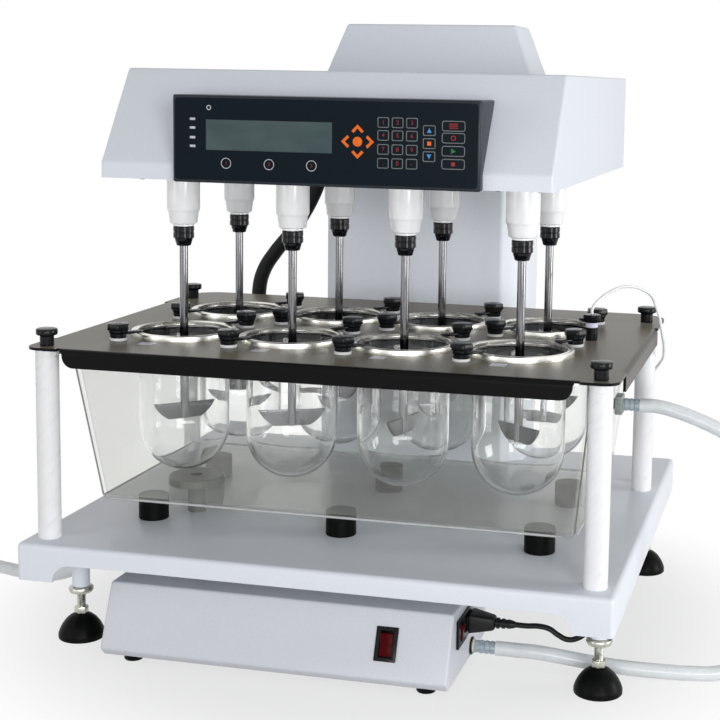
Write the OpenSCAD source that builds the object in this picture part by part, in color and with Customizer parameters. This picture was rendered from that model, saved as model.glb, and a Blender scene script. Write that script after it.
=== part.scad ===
// Eight-place dissolution tester: a water tank with glass vessels under a lifting stirrer head,
// and a heater box that stands below the base. Millimetres, +Z up, bench at z = 0, front at -Y.

/* [Base tray] */
// How far the base tray reaches past the middle of the posts, to each side
base_margin = 24; // [23:1:44]
// Depth of the base tray
base_d = 586; // [582:1:620]
// Height of the tray's top above the bench
base_top = 136; // [130:1:142]
// Depth of the apron at the corners
base_skirt = 41; // [34:1:46]
// Sheet thickness of the tray
base_wall = 3; // [2:0.5:4]
// Radius of the tray's rounded edges
base_edge_r = 8; // [5:0.5:12]
// How far the front apron is cut up between its corner lobes
arch_depth = 20; // [10:1:26]
// Width of a corner lobe of the front apron
lobe_w = 42; // [30:1:60]

/* [Levelling feet] */
// Distance of the feet from the tray's sides
foot_side_in = 27; // [26:1:40]
// Distance of the front feet from the tray's front
foot_front_in = 93; // [78:1:103]
// Distance of the back feet from the tray's back
foot_back_in = 75; // [63:1:88]
// Diameter of the rubber pad
pad_d = 52; // [44:1:54]
// Height of the rubber pad
pad_h = 28; // [22:1:32]
// Height of the pad's upright rim
pad_rim = 6; // [3:0.5:10]
// Diameter of the threaded stem
stem_d = 10; // [8:0.5:12]
// Diameter of the lock flange on the stem
lock_d = 28; // [24:1:32]
// Height of the lock flange above the bench
lock_z = 52; // [46:1:58]
// Thickness of the lock flange
lock_h = 8; // [5:0.5:10]
// Diameter of the welded boss that takes the stem
boss_d = 20; // [16:1:24]

/* [Posts and plate] */
// Diameter of the corner posts
post_d = 25; // [20:0.5:25]
// How far the middle of the posts lies outside the tank's rim, to each side
post_out = 11; // [8:1:14]
// Place of the front posts
post_front = -263; // [-266:1:-258]
// Place of the back posts
post_back = 122; // [110:1:130]
// Height of the plate's top above the bench
plate_top = 348; // [344:1:352]
// Thickness of the vessel plate
plate_t = 3; // [2:0.5:4]
// How far the vessel plate reaches past the middle of the posts, to each side
plate_margin = 19; // [17:1:20]
// Front edge of the vessel plate
plate_front = -280; // [-284:1:-278]
// Back edge of the vessel plate
plate_back = 186; // [176:1:187]
// Depth of the folded front and side skirts
plate_skirt = 20; // [14:1:26]
// Outer radius of the fold between the plate and its skirts
fold_r = 6; // [5:0.5:7]
// Diameter of a corner knob's cap
corner_knob_d = 23; // [18:0.5:26]
// Height of a corner knob
corner_knob_h = 19; // [14:0.5:24]
// Thickness of a corner knob's cap
corner_cap_h = 7; // [5:0.5:9]

/* [Vessels] */
// Distance between vessels in a row
pitch_x = 130; // [126:1:132]
// Place of the front row
row_front = -144; // [-150:1:-140]
// Place of the back row
row_back = 22; // [18:1:26]
// Outside diameter of a glass vessel
vessel_d = 102; // [96:0.5:102]
// Wall of a glass vessel
vessel_wall = 2; // [1.5:0.25:3]
// Depth of a vessel below the plate's top
vessel_depth = 156; // [146:1:160]
// Diameter of a vessel's rim flange
flange_d = 114; // [112:0.5:116]
// Thickness of the rim flange
flange_h = 3; // [2:0.25:4]
// Wall of the retaining ring round the flange
ring_wall = 1.7; // [1.2:0.1:2.5]
// Height of the retaining ring
ring_h = 6; // [5:0.25:8]
// Distance of the clamps from a vessel's axis
clamp_r = 81; // [77:0.5:82]
// Direction of the front clamp from a vessel's axis
clamp_turn = 232; // [228:1:236]
// Diameter of a clamp's white foot
clamp_d = 16; // [12:0.5:18]
// Diameter of a clamp knob
clamp_knob_d = 27; // [22:0.5:28]
// Height of a clamp knob
clamp_knob_h = 10; // [8:0.5:13]
// Lobes round a clamp knob
clamp_lobes = 6; // [5:1:8]

/* [Tank] */
// Width of the tank at its rim
tank_top_w = 580; // [574:1:584]
// Width of the tank at its floor
tank_floor_w = 540; // [530:1:548]
// Front of the tank's rim
tank_top_front = -238; // [-242:1:-230]
// Back of the tank's rim
tank_top_back = 102; // [98:1:105]
// Front of the tank's floor
tank_floor_front = -206; // [-212:1:-204]
// Back of the tank's floor
tank_floor_back = 69; // [64:1:76]
// Wall of the tank
tank_wall = 5; // [4:0.5:6]
// Radius of the tank's upright corners
tank_corner_r = 10; // [8:1:16]
// Diameter of the rubber feet under the tank
tank_foot_d = 34; // [26:1:38]
// Height of the rubber feet under the tank
tank_foot_h = 28; // [24:1:32]

/* [Hoses and leads] */
// Outside diameter of the water hoses
hose_d = 16; // [14:0.5:16]
// Diameter over the ribs of a hose barb
barb_d = 12; // [10:0.5:14]
// Depth of a barb's ribs
barb_rib = 1; // [0.5:0.25:1.5]
// Diameter of the outlet disc on the tank floor
drain_disc_d = 64; // [50:1:70]
// Thickness of the outlet disc
drain_disc_h = 10; // [6:0.5:12]
// Diameter of the outlet pipe
drain_pipe_d = 20; // [16:0.5:22]
// Diameter of the mains lead
lead_d = 6; // [5:0.25:7]
// Diameter of the probe cable
probe_cable_d = 3.5; // [2.5:0.25:3.5]
// Diameter of the temperature probe
probe_d = 6; // [4:0.5:8]
// Diameter of the black cable sleeve
sleeve_d = 20; // [16:0.5:22]

/* [Heater] */
// Left end of the heater box
heater_left = -240; // [-250:1:-225]
// Right end of the heater box
heater_right = 150; // [145:1:151]
// Front of the heater box, at its foot
heater_front = -270; // [-276:1:-262]
// Depth of the heater box
heater_d = 182; // [176:1:188]
// Height of the heater box above its feet
heater_h = 76; // [70:1:80]
// How far the front leans back
heater_lean = 29; // [20:1:36]
// Chamfer under the front
heater_chamfer = 9; // [5:0.5:12]
// Sheet thickness of the heater box
heater_wall = 2; // [1.5:0.25:3]
// Height of the heater's rubber feet
heater_foot_h = 8; // [6:0.5:10]
// Diameter of the heater's rubber feet
heater_foot_d = 22; // [18:1:26]
// Place of the heater switch along the front
switch_x = 81; // [60:1:100]

/* [Column and lift] */
// Width of the column cover
column_w = 278; // [270:1:290]
// Middle of the column cover
column_x = -8; // [-12:1:0]
// Front of the column cover
column_front = 190; // [188:0.5:190]
// Back of the column cover
column_back = 288; // [284:1:289]
// Width of the column's front bevels
column_bevel = 30; // [20:1:40]
// Height of the column's top above the bench
column_top = 526; // [500:1:528]
// Sheet thickness of the column cover
column_wall = 2.5; // [1.5:0.25:3]
// Width of the mast inside the column
mast_w = 150; // [130:1:156]
// Depth of the mast
mast_d = 42; // [36:1:42]
// Wall of the mast
mast_wall = 4; // [3:0.5:6]
// Height of the mast's top above the bench
mast_top = 700; // [690:1:703]
// Diameter of the lift screw
screw_d = 12; // [10:0.5:14]
// Width of the lift motor
lift_motor_w = 36; // [30:1:36]
// Height of the lift motor
lift_motor_h = 62; // [50:1:80]
// Length of the carriage that runs on the mast
carriage_h = 111; // [90:1:120]
// Wall of the carriage
carriage_wall = 7; // [5:0.5:8]

/* [Head] */
// Width of the stirrer head
head_w = 489; // [486:1:510]
// Front of the head
head_front = -245; // [-250:1:-235]
// Back of the head
head_back = 293; // [291:0.5:293]
// Underside of the head above the bench
head_bottom = 530; // [529:0.5:534]
// Height of the upright lip along the front
head_lip = 17; // [12:0.5:24]
// Height of the head
head_h = 117; // [112:1:124]
// How far the front slopes back
head_slope = 68; // [50:1:80]
// Sheet thickness of the head cover
head_wall = 2.5; // [2:0.25:3]
// Radius of the head's rounded edges
head_edge_r = 6; // [4:0.5:8]
// Thickness of the head's floor plate
floor_t = 6; // [4:0.5:8]
// Width of the hood at its foot
hood_w = 276; // [270:1:290]
// Front of the hood at its foot
hood_front = 183; // [176:1:186]
// Height of the hood
hood_h = 65; // [62:1:70]
// How far the hood's sides draw in
hood_taper = 25; // [15:1:30]

/* [Panel] */
// Width of the control panel
panel_w = 330; // [310:1:350]
// Middle of the control panel
panel_x = 8; // [-10:1:14]
// Height of the control panel
panel_h = 91; // [84:1:96]
// How far the panel stands proud of the head's lip
panel_proud = 11; // [8:0.5:16]
// Thickness of the front overlay
overlay_t = 1.2; // [0.8:0.1:2]
// Width of the display window
lcd_w = 138; // [120:1:145]
// Height of the display window
lcd_h = 32; // [26:1:36]

/* [Spindles] */
// Diameter of a white spindle housing
housing_d = 37; // [33:0.5:40]
// Underside of the housings above the bench
housing_bottom = 474; // [470:0.5:480]
// Height of a housing's lower taper
housing_taper = 13; // [8:0.5:18]
// Diameter of a black chuck
chuck_d = 23.5; // [21:0.5:26]
// Height of a black chuck
chuck_h = 22; // [18:0.5:26]
// Diameter of the hollow spindle
spindle_d = 16; // [14:0.5:16]
// Diameter of a paddle's shaft
shaft_d = 9.5; // [8:0.1:10.5]
// Underside of a paddle's blade above the bench
blade_bottom = 252; // [246:1:262]
// Height of a paddle's blade
blade_h = 19; // [16:0.5:21]
// Thickness of a paddle's blade
blade_t = 4; // [3:0.25:5]
// Radius of the circle that a blade is cut from
blade_r = 41.5; // [39:0.5:42]
// Pitch diameter of a belt pulley
pulley_d = 40; // [34:1:44]
// Thickness of the drive belt
belt_t = 2; // [1.5:0.25:2.5]
// Width of the drive belt
belt_w = 10; // [8:0.5:12]
// Diameter of the drive motor
motor_d = 68; // [60:1:72]
// Height of the drive motor
motor_h = 56; // [48:1:64]

/* [Hidden] */
$fn = 64;
// Facets on a round that only softens an edge
soft_fn = 24;
// Running clearance of a shaft in its bearing, on the radius
run_gap = 0.1;
// Clearance of pieces that only pass each other
free_gap = 0.3;
// Overlap of a cutting tool past the face that it cuts
cut = 1;

// Widths that follow from the tank's rim
post_x = tank_top_w / 2 + post_out;
plate_w = 2 * (post_x + plate_margin);
base_w = 2 * (post_x + base_margin);

// Base and feet
base_under = base_top - base_wall;
apron_bottom = base_top - base_skirt;
foot_x = base_w / 2 - foot_side_in;
foot_front = -base_d / 2 + foot_front_in;
foot_back = base_d / 2 - foot_back_in;
feet = [[-foot_x, foot_front], [foot_x, foot_front], [-foot_x, foot_back], [foot_x, foot_back]];
hex_d = stem_d + 6;
hex_h = 8;
pad_socket = 10;
boss_floor = 6;

// Posts and plate
posts = [[-post_x, post_front], [post_x, post_front], [-post_x, post_back], [post_x, post_back]];
plate_under = plate_top - plate_t;
plate_front_r = 17;
plate_back_r = 40;
// How far the skirts stop short of the posts, and the radii of the front skirt's swept ends
front_skirt_end = 26;
side_skirt_end = 46;
skirt_low_r = plate_skirt * 0.65;
skirt_up_r = plate_skirt - skirt_low_r;
corner_body_d = corner_knob_d * 0.65;
stud_d = 6;
stud_depth = 22;

// Vessels, rings and clamps
vessel_bottom = plate_top - vessel_depth;
vessel_ball = vessel_bottom + vessel_d / 2;
vessel_hole_d = vessel_d + 2;
ring_bore = vessel_d + 1;
ring_d = flange_d + 2 * (free_gap + ring_wall);
ring_top = plate_top + ring_h;
finger_w = 9;
finger_t = 3;
finger_grip = 5;
clamp_top = ring_top + free_gap + finger_t;
knob_step = 3;

// Tank and its fittings
tank_under = base_top + tank_foot_h;
tank_rim = plate_under - free_gap;
tank_floor = tank_under + tank_wall;
tank_foot_in = 45;
tank_foot_front_in = 43;
tank_foot_back_in = 42;
tank_foot_rows = [tank_floor_front + tank_foot_front_in, tank_floor_back - tank_foot_back_in];
tank_feet = [for (s = [-1, 0, 1], y = tank_foot_rows) [s * (tank_floor_w / 2 - tank_foot_in), y]];
drain_side_in = 80;
drain_front_in = 84;
drain_at = [drain_side_in - tank_floor_w / 2, tank_floor_front + drain_front_in];
drain_bore = 14;
tee_z = 104;
tee_d = 24;
tee_reach = 36;
inlet_y = -14;
inlet_z = 272;
inlet_x = tank_wall_x(inlet_z);
inlet_block = 22;
inlet_block_t = 9;
inlet_stand = 1.6;
inlet_inside = 14;
inlet_reach = 30;
inlet_end = inlet_x + inlet_reach;

// Heater box and what stands on it
heater_z = heater_foot_h;
heater_top = heater_z + heater_h;
heater_back = heater_front + heater_d;
heater_foot_side_in = 28;
heater_foot_front_in = 26;
heater_foot_back_in = 20;
heater_feet = [for (x = [heater_left + heater_foot_side_in, heater_right - heater_foot_side_in],
    y = [heater_front + heater_foot_front_in, heater_back - heater_foot_back_in]) [x, y]];
barb_root = barb_d - 2 * barb_rib;
barb_flange_d = 20;
barb_flange_t = 3;
outlet_y = -157;
outlet_z = 20;
outlet_reach = 28;
outlet_end = heater_right + outlet_reach;
return_x = -56;
return_z = 50;
return_reach = 28;
return_end = heater_back + return_reach;
switch_w = 24;
switch_h = 36;
switch_deep = 16;
frame_t = 2;
rocker_w = 14;
rocker_h = 24;
rocker_tilt = 8;
rocker_pin_d = 3;
rocker_drop = 4;
rocker_crest = 2.5;
rocker_dish = 1.3;
rocker_foot = 2;
rocker_room = 2;
pin_reach = 2;

// Mains inlets: the heater's has a switch beside its socket, the column's stands beside the mast
socket_y = -179;
socket_z = 57;
socket_rocker_y = -214;
module_w = 66;
module_y = (socket_y + socket_rocker_y) / 2;
socket_h = 31;
socket_deep = 24;
socket_t = 3;
socket_lip = 2.5;
socket_rocker_w = 9;
socket_rocker_h = 16;
nose_w = 23;
nose_h = 15;
nose_deep = 15;
plug_out = 54;
plug_w = 28;
plug_h = 22;
plug_body = 14;
plug_neck_w = 16;
plug_neck_h = 14;
relief_d = 12;
relief_tip = 4;
relief_tip_d = 10;
relief_ribs = 4;
relief_rib_h = 3;
relief_pitch = 6;
rear_inlet_w = 40;
rear_inlet_x = mast_w / 2 + rear_inlet_w / 2 + 5;
rear_inlet_z = 230;

// Column and lift
mast_back = column_back - 14;
mast_front = mast_back - mast_d;
screw_y = mast_front - 21;
screw_top = mast_top - 5;
nut_d = 22;
bearing_h = 12;
mast_room = 1;
carriage_room = 4;

// Head, hood and panel
head_top = head_bottom + head_h;
head_brow = head_front + head_slope;
lip_top = head_bottom + head_lip;
floor_z = head_bottom + 1;
floor_top = floor_z + floor_t;
carriage_bottom = floor_z - carriage_h;
hood_back = head_back - 5;
hood_top = head_top + hood_h;
hood_edge_r = 8;
hood_rim = 12;
hood_back_taper = 4;
panel_front = head_front - panel_proud;
panel_bottom = head_bottom - 1;
panel_top = panel_bottom + panel_h;
overlay_edge = 3;
overlay_r = 4;
lcd_x = -59;
lcd_z = 50;

// Spindles and their drive
neck_h = 2.5;
chuck_top = housing_bottom - neck_h - free_gap;
chuck_bottom = chuck_top - chuck_h;
pulley_rim = 3;
pulley_rim_t = 1.5;
pulley_z = floor_top + 12;
pulley_h = belt_w + 4;
belt_z = pulley_z + 2;
blade_top = blade_bottom + blade_h;
blade_drop = 17.3;
blade_turn = [51, 28, 80, -44, 20, -35, 62, 8];
shaft_top = pulley_z + pulley_h + 16;
motor_leg = 38;
motor_leg_d = 8;
motor_foot = 5;
motor_plate_t = 5;
motor_plate_z = pulley_z + pulley_h + 2;
motor_shaft_d = 8;
motor_bore = 16;

// Probe and glands: a neck or a nut is given by how much wider it is than its cable
probe_cap_d = 14;
probe_cap_h = 30;
probe_knob_d = 20;
probe_knob_h = 9;
probe_row_out = 54;
probe_edge_y = 78;
// Share of the room between the last vessel and the tank's wall at which the probe hangs
probe_share = 0.35;
vessel_side = vessel_x(3) + vessel_d / 2;
tank_side = tank_wall_x(vessel_ball) - tank_wall;
gland_neck = 5;
lead_nut = 12;
lead_nut_h = 10;
probe_nut = 11;
probe_nut_h = 7;
sleeve_nut = 4;
gland_side_in = 28;
gland_y = 160;
gland_h = 14;
lead_side_in = 40;
lead_foot_out = 28;
column_left = column_x - column_w / 2;

// Ends of the hoses, leads and cables
inlet_from = [inlet_end, inlet_y, inlet_z];
outlet_from = [outlet_end, outlet_y, outlet_z];
drain_from = [drain_at[0] - tee_reach, drain_at[1], tee_z];
tee_from = [drain_at[0], drain_at[1] + tee_reach, tee_z];
return_from = [return_x, return_end, return_z];
plug_from = [heater_right + plug_out, socket_y, socket_z];
lead_run = [base_w / 2 - lead_side_in - plug_from[0], foot_front + lead_foot_out - plug_from[1]];
probe_x = vessel_side + probe_share * (tank_side - vessel_side);
probe_from = [probe_x, row_back - probe_row_out, plate_top + probe_cap_h];
plate_edge = [plate_w / 2, probe_edge_y, plate_top];
gland_from = [base_w / 2 - gland_side_in, gland_y, base_top + gland_h];

// Routes of the hoses, leads and cables, each step given from the end that it lies nearest to
function steps(from, list) = [for (p = list) from + p];
supply_route = concat(
    steps(inlet_from, [[0, 0, 0], [18, 0, 0], [40, 0, -4], [66, -1, -12], [92, -3, -22], [117, -6, -34],
        [140, -11, -50.5], [160, -18, -73], [173, -28, -100], [180, -40, -131], [180, -54, -163],
        [174, -76, -200]]),
    steps(outlet_from, [[294, 46, 22], [272, 29, 1], [244, 18, -8.5], [214, 12.5, -10.5], [180, 9, -10.5],
        [146, 6, -9.5], [112, 3.5, -7], [78, 1, -3], [46, 0, 0], [22, 0, 0], [0, 0, 0]]));
drain_route = steps(drain_from, [[0, 0, 0], [-18, 0, 0], [-39, 3, -5.5], [-64, 10, -18], [-89, 20, -35],
    [-116, 32, -53], [-145, 45, -70], [-176, 59, -84], [-207, 73, -92.5], [-238, 84, -95.2],
    [-268, 93, -95.8], [-294, 100, -95.8]]);
return_route = concat(
    steps(tee_from, [[0, 0, 0], [0, 25, 0], [1, 53, -2.5], [9, 79, -8], [27, 99, -15], [52, 110, -24]]),
    steps(return_from, [[-53, 84, 20], [-28, 73, 11.5], [-10, 53, 5], [-1, 27, 1], [0, 10, 0], [0, 0, 0]]));
lead_route = [for (p = [[0, 0, 0], [0.15, 0, 0], [0.31, 0, 1], [0.46, 0, -1], [0.57, 0, -6.5],
    [0.7, 0.14, -11], [0.82, 0.29, -9.2], [0.915, 0.43, -4], [0.98, 0.64, 3.8], [1, 0.86, 13], [1, 0.93, 27],
    [1, 1, 40], [1, 1, 53]]) plug_from + [p[0] * lead_run[0], p[1] * lead_run[1], p[2]]];
probe_route = concat(
    steps(probe_from, [[0, 0, 0], [0, 0, 5], [2, 3, 10], [7, 11, 16], [15, 24, 22], [25, 43, 26],
        [37, 65, 25], [48, 84, 19], [57, 99, 9.5]]),
    steps(plate_edge, [[-3, -2, 26], [1.5, -1, 13], [4, 0, -0.5], [6, 4, -13], [5.5, 22, -24], [4, 39, -36],
        [1, 58, -47], [-4, 73, -56]]),
    steps(gland_from, [[12, -1, 131], [5, 1, 116], [1, 0.5, 99], [0, 0, 78], [0, 0, 50], [0, 0, 22],
        [0, 0, 0]]));
sleeve_route = [for (p = [[-23, 256, 531], [-23, 256, 516], [-25, 255, 500], [-33, 253, 478], [-47, 252, 452],
    [-66, 251, 424], [-87, 250, 398], [-103, 250, 373], [-110, 250, 347], [-109, 250, 322], [-99, 250, 301],
    [-81, 250, 288], [-59, 250, 282], [-37, 250, 282], [-15, 250, 282]]) [column_left + p[0], p[1], p[2]]];
plug_stem = 8;
plug_head = 6;

// Place of a vessel and its spindle: front row first, from the left
function vessel_x(k) = ((k % 4) - 1.5) * pitch_x;
function vessel_y(k) = k < 4 ? row_front : row_back;
// Outer face of the tank's right wall at a height
function tank_wall_x(z) =
    (tank_floor_w + (tank_top_w - tank_floor_w) * (z - tank_under) / (tank_rim - tank_under)) / 2;
// Place of the head's sloped front at a height
function slope_y(z) = head_front + head_slope * (z - lip_top) / (head_top - lip_top);
function last(list) = list[len(list) - 1];

function unit(v) = v / norm(v);
function tangent(p, i) = unit(p[min(i + 1, len(p) - 1)] - p[max(i - 1, 0)]);
function across(v) = abs(v[2]) < 0.8 ? unit(cross(v, [0, 0, 1])) : unit(cross(v, [1, 0, 0]));
function carried(n, t) = unit(n - (n * t) * t);
function normals(p, i, n) =
    i == len(p) ? [] : let (m = carried(n, tangent(p, i))) concat([m], normals(p, i + 1, m));

// A round tube along a route, closed at both ends
module tube(p, d, sides) {
    n = normals(p, 0, across(tangent(p, 0)));
    rings = len(p);
    points = [for (i = [0 : rings - 1], s = [0 : sides - 1])
        let (a = 360 * s / sides, b = cross(tangent(p, i), n[i]))
        p[i] + d / 2 * (cos(a) * n[i] + sin(a) * b)];
    walls = [for (i = [0 : rings - 2], s = [0 : sides - 1], h = [0, 1])
        let (a = i * sides + s, b = i * sides + (s + 1) % sides)
        h == 0 ? [a, a + sides, b] : [b, a + sides, b + sides]];
    first_end = [for (s = [0 : sides - 1]) s];
    last_end = [for (s = [sides - 1 : -1 : 0]) (rings - 1) * sides + s];
    polyhedron(points = points, faces = concat([first_end], walls, [last_end]));
}

module rounded_rect(x0, y0, x1, y1, r) {
    translate([x0 + r, y0]) square([x1 - x0 - 2 * r, y1 - y0]);
    translate([x0, y0 + r]) square([x1 - x0, y1 - y0 - 2 * r]);
    for (x = [x0 + r, x1 - r], y = [y0 + r, y1 - r]) translate([x, y]) circle(r);
}

module bar(d, z0, z1) {
    translate([0, 0, z0]) cylinder(d = d, h = z1 - z0);
}

// A box about the local Z axis
module block(w, h, z0, z1) {
    translate([-w / 2, -h / 2, z0]) cube([w, h, z1 - z0]);
}

module at_points(list) {
    for (p = list) translate([p[0], p[1], 0]) children();
}

module at_vessels() {
    for (k = [0 : 7]) translate([vessel_x(k), vessel_y(k), 0]) children();
}

module at_clamps() {
    at_vessels() rotate(clamp_turn) for (s = [0, 1]) mirror([s, 0, 0]) translate([clamp_r, 0, 0]) children();
}

// A box whose upright edges and top edges are rounded
module soft_top_box(w, d, z0, z1, r) {
    hull() for (x = [-1, 1], y = [-1, 1]) translate([x * (w / 2 - r), y * (d / 2 - r), 0]) {
        translate([0, 0, z1 - r]) sphere(r, $fn = soft_fn);
        translate([0, 0, z0]) cylinder(r = r, h = cut, $fn = soft_fn);
    }
}

// The cut under the front apron, with a quarter round down to each corner lobe
module arch_outline() {
    half = base_w / 2 - lobe_w;
    translate([-half, apron_bottom - cut]) square([2 * half, cut]);
    translate([-half + arch_depth, apron_bottom - cut]) square([2 * (half - arch_depth), arch_depth + cut]);
    intersection() {
        for (s = [-1, 1]) translate([s * (half - arch_depth), apron_bottom]) circle(arch_depth);
        translate([-half, apron_bottom - cut]) square([2 * half, arch_depth + cut]);
    }
}

module base_tray() {
    color("gainsboro") {
        difference() {
            soft_top_box(base_w, base_d, apron_bottom, base_top, base_edge_r);
            block(base_w - 2 * base_wall, base_d - 2 * base_wall, apron_bottom - cut, base_under);
            translate([0, -base_d / 2 + base_wall + cut, 0]) rotate([90, 0, 0])
                linear_extrude(base_wall + 2 * cut) arch_outline();
            at_points([drain_at]) bar(drain_pipe_d + 2 * free_gap, base_under - cut, base_top + cut);
        }
        at_points(feet) difference() {
            bar(boss_d, lock_z + lock_h + free_gap, base_under);
            bar(stem_d + 2 * run_gap, lock_z, base_under - boss_floor);
        }
    }
}

module foot_stem(k) {
    color("silver") at_points([feet[k]]) {
        bar(stem_d, pad_h - pad_socket, base_under - boss_floor - free_gap);
        bar(lock_d, lock_z, lock_z + lock_h);
        translate([0, 0, pad_h + free_gap]) cylinder(d = hex_d, h = hex_h, $fn = 6);
    }
}

// A rubber pad with an upright rim and a low dome, bored for its stem
module levelling_pad() {
    r = pad_d / 2;
    dome = pad_h - pad_rim;
    ball = (r * r + dome * dome) / (2 * dome);
    difference() {
        union() {
            bar(pad_d, 0, pad_rim);
            rotate_extrude() intersection() {
                translate([0, pad_h - ball]) circle(ball, $fn = 128);
                translate([0, pad_rim]) square([r, dome]);
            }
        }
        bar(stem_d + 2 * run_gap, pad_h - pad_socket - free_gap, pad_h + cut);
    }
}

module rubber_feet() {
    color("black") {
        at_points(feet) levelling_pad();
        at_points(tank_feet) bar(tank_foot_d, base_top, tank_under);
        at_points(heater_feet) bar(heater_foot_d, 0, heater_z);
    }
}

module corner_posts() {
    color("whitesmoke") at_points(posts) difference() {
        bar(post_d, base_top, plate_under);
        bar(stud_d + 2 * free_gap, plate_under - stud_depth - 2 * cut, plate_under + cut);
    }
}

module corner_knobs() {
    knob_top = plate_top + corner_knob_h;
    color("black") at_points(posts) {
        bar(stud_d, plate_under - stud_depth, plate_top + cut);
        bar(corner_body_d, plate_top, knob_top);
        bar(corner_knob_d, knob_top - corner_cap_h, knob_top);
    }
}

module plate_outline() {
    half = plate_w / 2;
    intersection() {
        rounded_rect(-half, plate_front, half, plate_back + plate_back_r, plate_front_r);
        rounded_rect(-half, plate_front - plate_back_r, half, plate_back, plate_back_r);
    }
}

// Section of a folded edge: the bend and the skirt below it, with the outer face on x = 0
module fold_section() {
    translate([-fold_r, plate_top - fold_r]) intersection() {
        difference() {
            circle(fold_r);
            circle(fold_r - plate_t);
        }
        square(fold_r);
    }
    translate([-plate_t, plate_top - plate_skirt]) square([plate_t, plate_skirt - fold_r]);
}

// Outline of the front skirt: rounded lower corners that sweep out into the plate
module front_skirt_outline(half) {
    low = plate_top - plate_skirt;
    translate([-half, low + skirt_low_r]) square([2 * half, skirt_up_r]);
    translate([-half + skirt_low_r, low]) square([2 * (half - skirt_low_r), plate_skirt]);
    for (s = [-1, 1]) {
        translate([s * (half - skirt_low_r), low + skirt_low_r]) circle(skirt_low_r);
        difference() {
            translate([s > 0 ? half : -half - skirt_up_r, plate_top - skirt_up_r]) square(skirt_up_r);
            translate([s * (half + skirt_up_r), plate_top - skirt_up_r]) circle(skirt_up_r);
        }
    }
}

module vessel_plate() {
    half = plate_w / 2;
    reach = post_x - front_skirt_end;
    side_start = post_front + side_skirt_end;
    side_end = post_back - side_skirt_end;
    color("black") difference() {
        union() {
            difference() {
                translate([0, 0, plate_under]) linear_extrude(plate_t) plate_outline();
                translate([0, plate_front, 0])
                    block(2 * (reach + skirt_up_r), 2 * fold_r, plate_under - cut, plate_top + cut);
                for (s = [-1, 1]) translate([s * half, (side_start + side_end) / 2, 0])
                    block(2 * fold_r, side_end - side_start, plate_under - cut, plate_top + cut);
            }
            intersection() {
                translate([-half, plate_front, 0]) rotate([90, 0, 90]) linear_extrude(plate_w)
                    mirror([1, 0]) fold_section();
                translate([0, plate_front + fold_r, 0]) rotate([90, 0, 0]) linear_extrude(2 * fold_r)
                    front_skirt_outline(reach);
            }
            for (s = [0, 1]) mirror([s, 0, 0]) translate([half, side_end, 0]) rotate([90, 0, 0])
                linear_extrude(side_end - side_start) fold_section();
        }
        at_vessels() bar(vessel_hole_d, plate_under - cut, plate_top + cut);
        at_points(posts) bar(stud_d + 2 * free_gap, plate_under - cut, plate_top + cut);
        at_points([probe_from]) bar(probe_d + 2 * free_gap, plate_under - cut, plate_top + cut);
    }
}

module vessel_rings() {
    color("lightgray") at_vessels() difference() {
        bar(ring_d, plate_top, ring_top);
        bar(ring_bore, plate_top - cut, ring_top + cut);
        bar(flange_d + 2 * free_gap, plate_top - cut, plate_top + flange_h + free_gap);
    }
}

module vessel_clamps() {
    reach = clamp_r - ring_d / 2 + finger_grip;
    color("white") at_clamps() {
        bar(clamp_d, plate_top, clamp_top);
        translate([-reach, -finger_w / 2, clamp_top - finger_t]) cube([reach, finger_w, finger_t]);
    }
}

module clamp_knobs() {
    lobe_d = clamp_knob_d * 0.36;
    color("black") at_clamps() {
        bar(clamp_d * 0.85, clamp_top, clamp_top + clamp_knob_h);
        translate([0, 0, clamp_top + knob_step]) linear_extrude(clamp_knob_h - knob_step) {
            circle(d = clamp_knob_d * 0.88);
            for (i = [0 : clamp_lobes - 1]) rotate(i * 360 / clamp_lobes)
                translate([(clamp_knob_d - lobe_d) / 2, 0]) circle(d = lobe_d);
        }
    }
}

module vessels() {
    color("lightcyan", 0.4) at_vessels() difference() {
        union() {
            translate([0, 0, vessel_ball]) sphere(d = vessel_d);
            bar(vessel_d, vessel_ball, plate_top + flange_h);
            bar(flange_d, plate_top, plate_top + flange_h);
        }
        translate([0, 0, vessel_ball]) sphere(d = vessel_d - 2 * vessel_wall);
        bar(vessel_d - 2 * vessel_wall, vessel_ball, plate_top + flange_h + cut);
    }
}

module tank_plan(w, front, back, inset) {
    rounded_rect(-w / 2 + inset, front + inset, w / 2 - inset, back - inset, tank_corner_r - inset, $fn = 32);
}

// The tank's tapered body between two heights, drawn in by a wall
module tank_body(inset, z0, z1) {
    slice = 0.1;
    hull() {
        translate([0, 0, z0]) linear_extrude(slice)
            tank_plan(tank_floor_w, tank_floor_front, tank_floor_back, inset);
        translate([0, 0, z1 - slice]) linear_extrude(slice)
            tank_plan(tank_top_w, tank_top_front, tank_top_back, inset);
    }
}

module tank() {
    color("lightblue", 0.3) difference() {
        tank_body(0, tank_under, tank_rim);
        tank_body(tank_wall, tank_floor, tank_rim + 2 * cut);
        at_points([drain_at]) bar(drain_pipe_d + 2 * free_gap, tank_under - cut, tank_floor + cut);
        translate([inlet_x - inlet_block, inlet_y, inlet_z]) rotate([0, 90, 0])
            cylinder(d = barb_d + 2 * free_gap, h = 2 * inlet_block);
    }
}

// A hose tail with three ribs near its end, along +X from its root
module barb(length) {
    rib_w = 5;
    rib_pitch = 6;
    rotate([0, 90, 0]) {
        cylinder(d = barb_root, h = length);
        for (i = [1 : 3]) translate([0, 0, length - i * rib_pitch + 1])
            cylinder(d1 = barb_d, d2 = barb_root, h = rib_w);
    }
}

// A hose tail through a sheet wall whose outer face is on x = 0, with its flange
module wall_barb(wall, length) {
    rotate([0, 90, 0]) cylinder(d = barb_flange_d, h = barb_flange_t);
    translate([-wall - barb_flange_t, 0, 0]) barb(length + wall + barb_flange_t);
}

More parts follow.
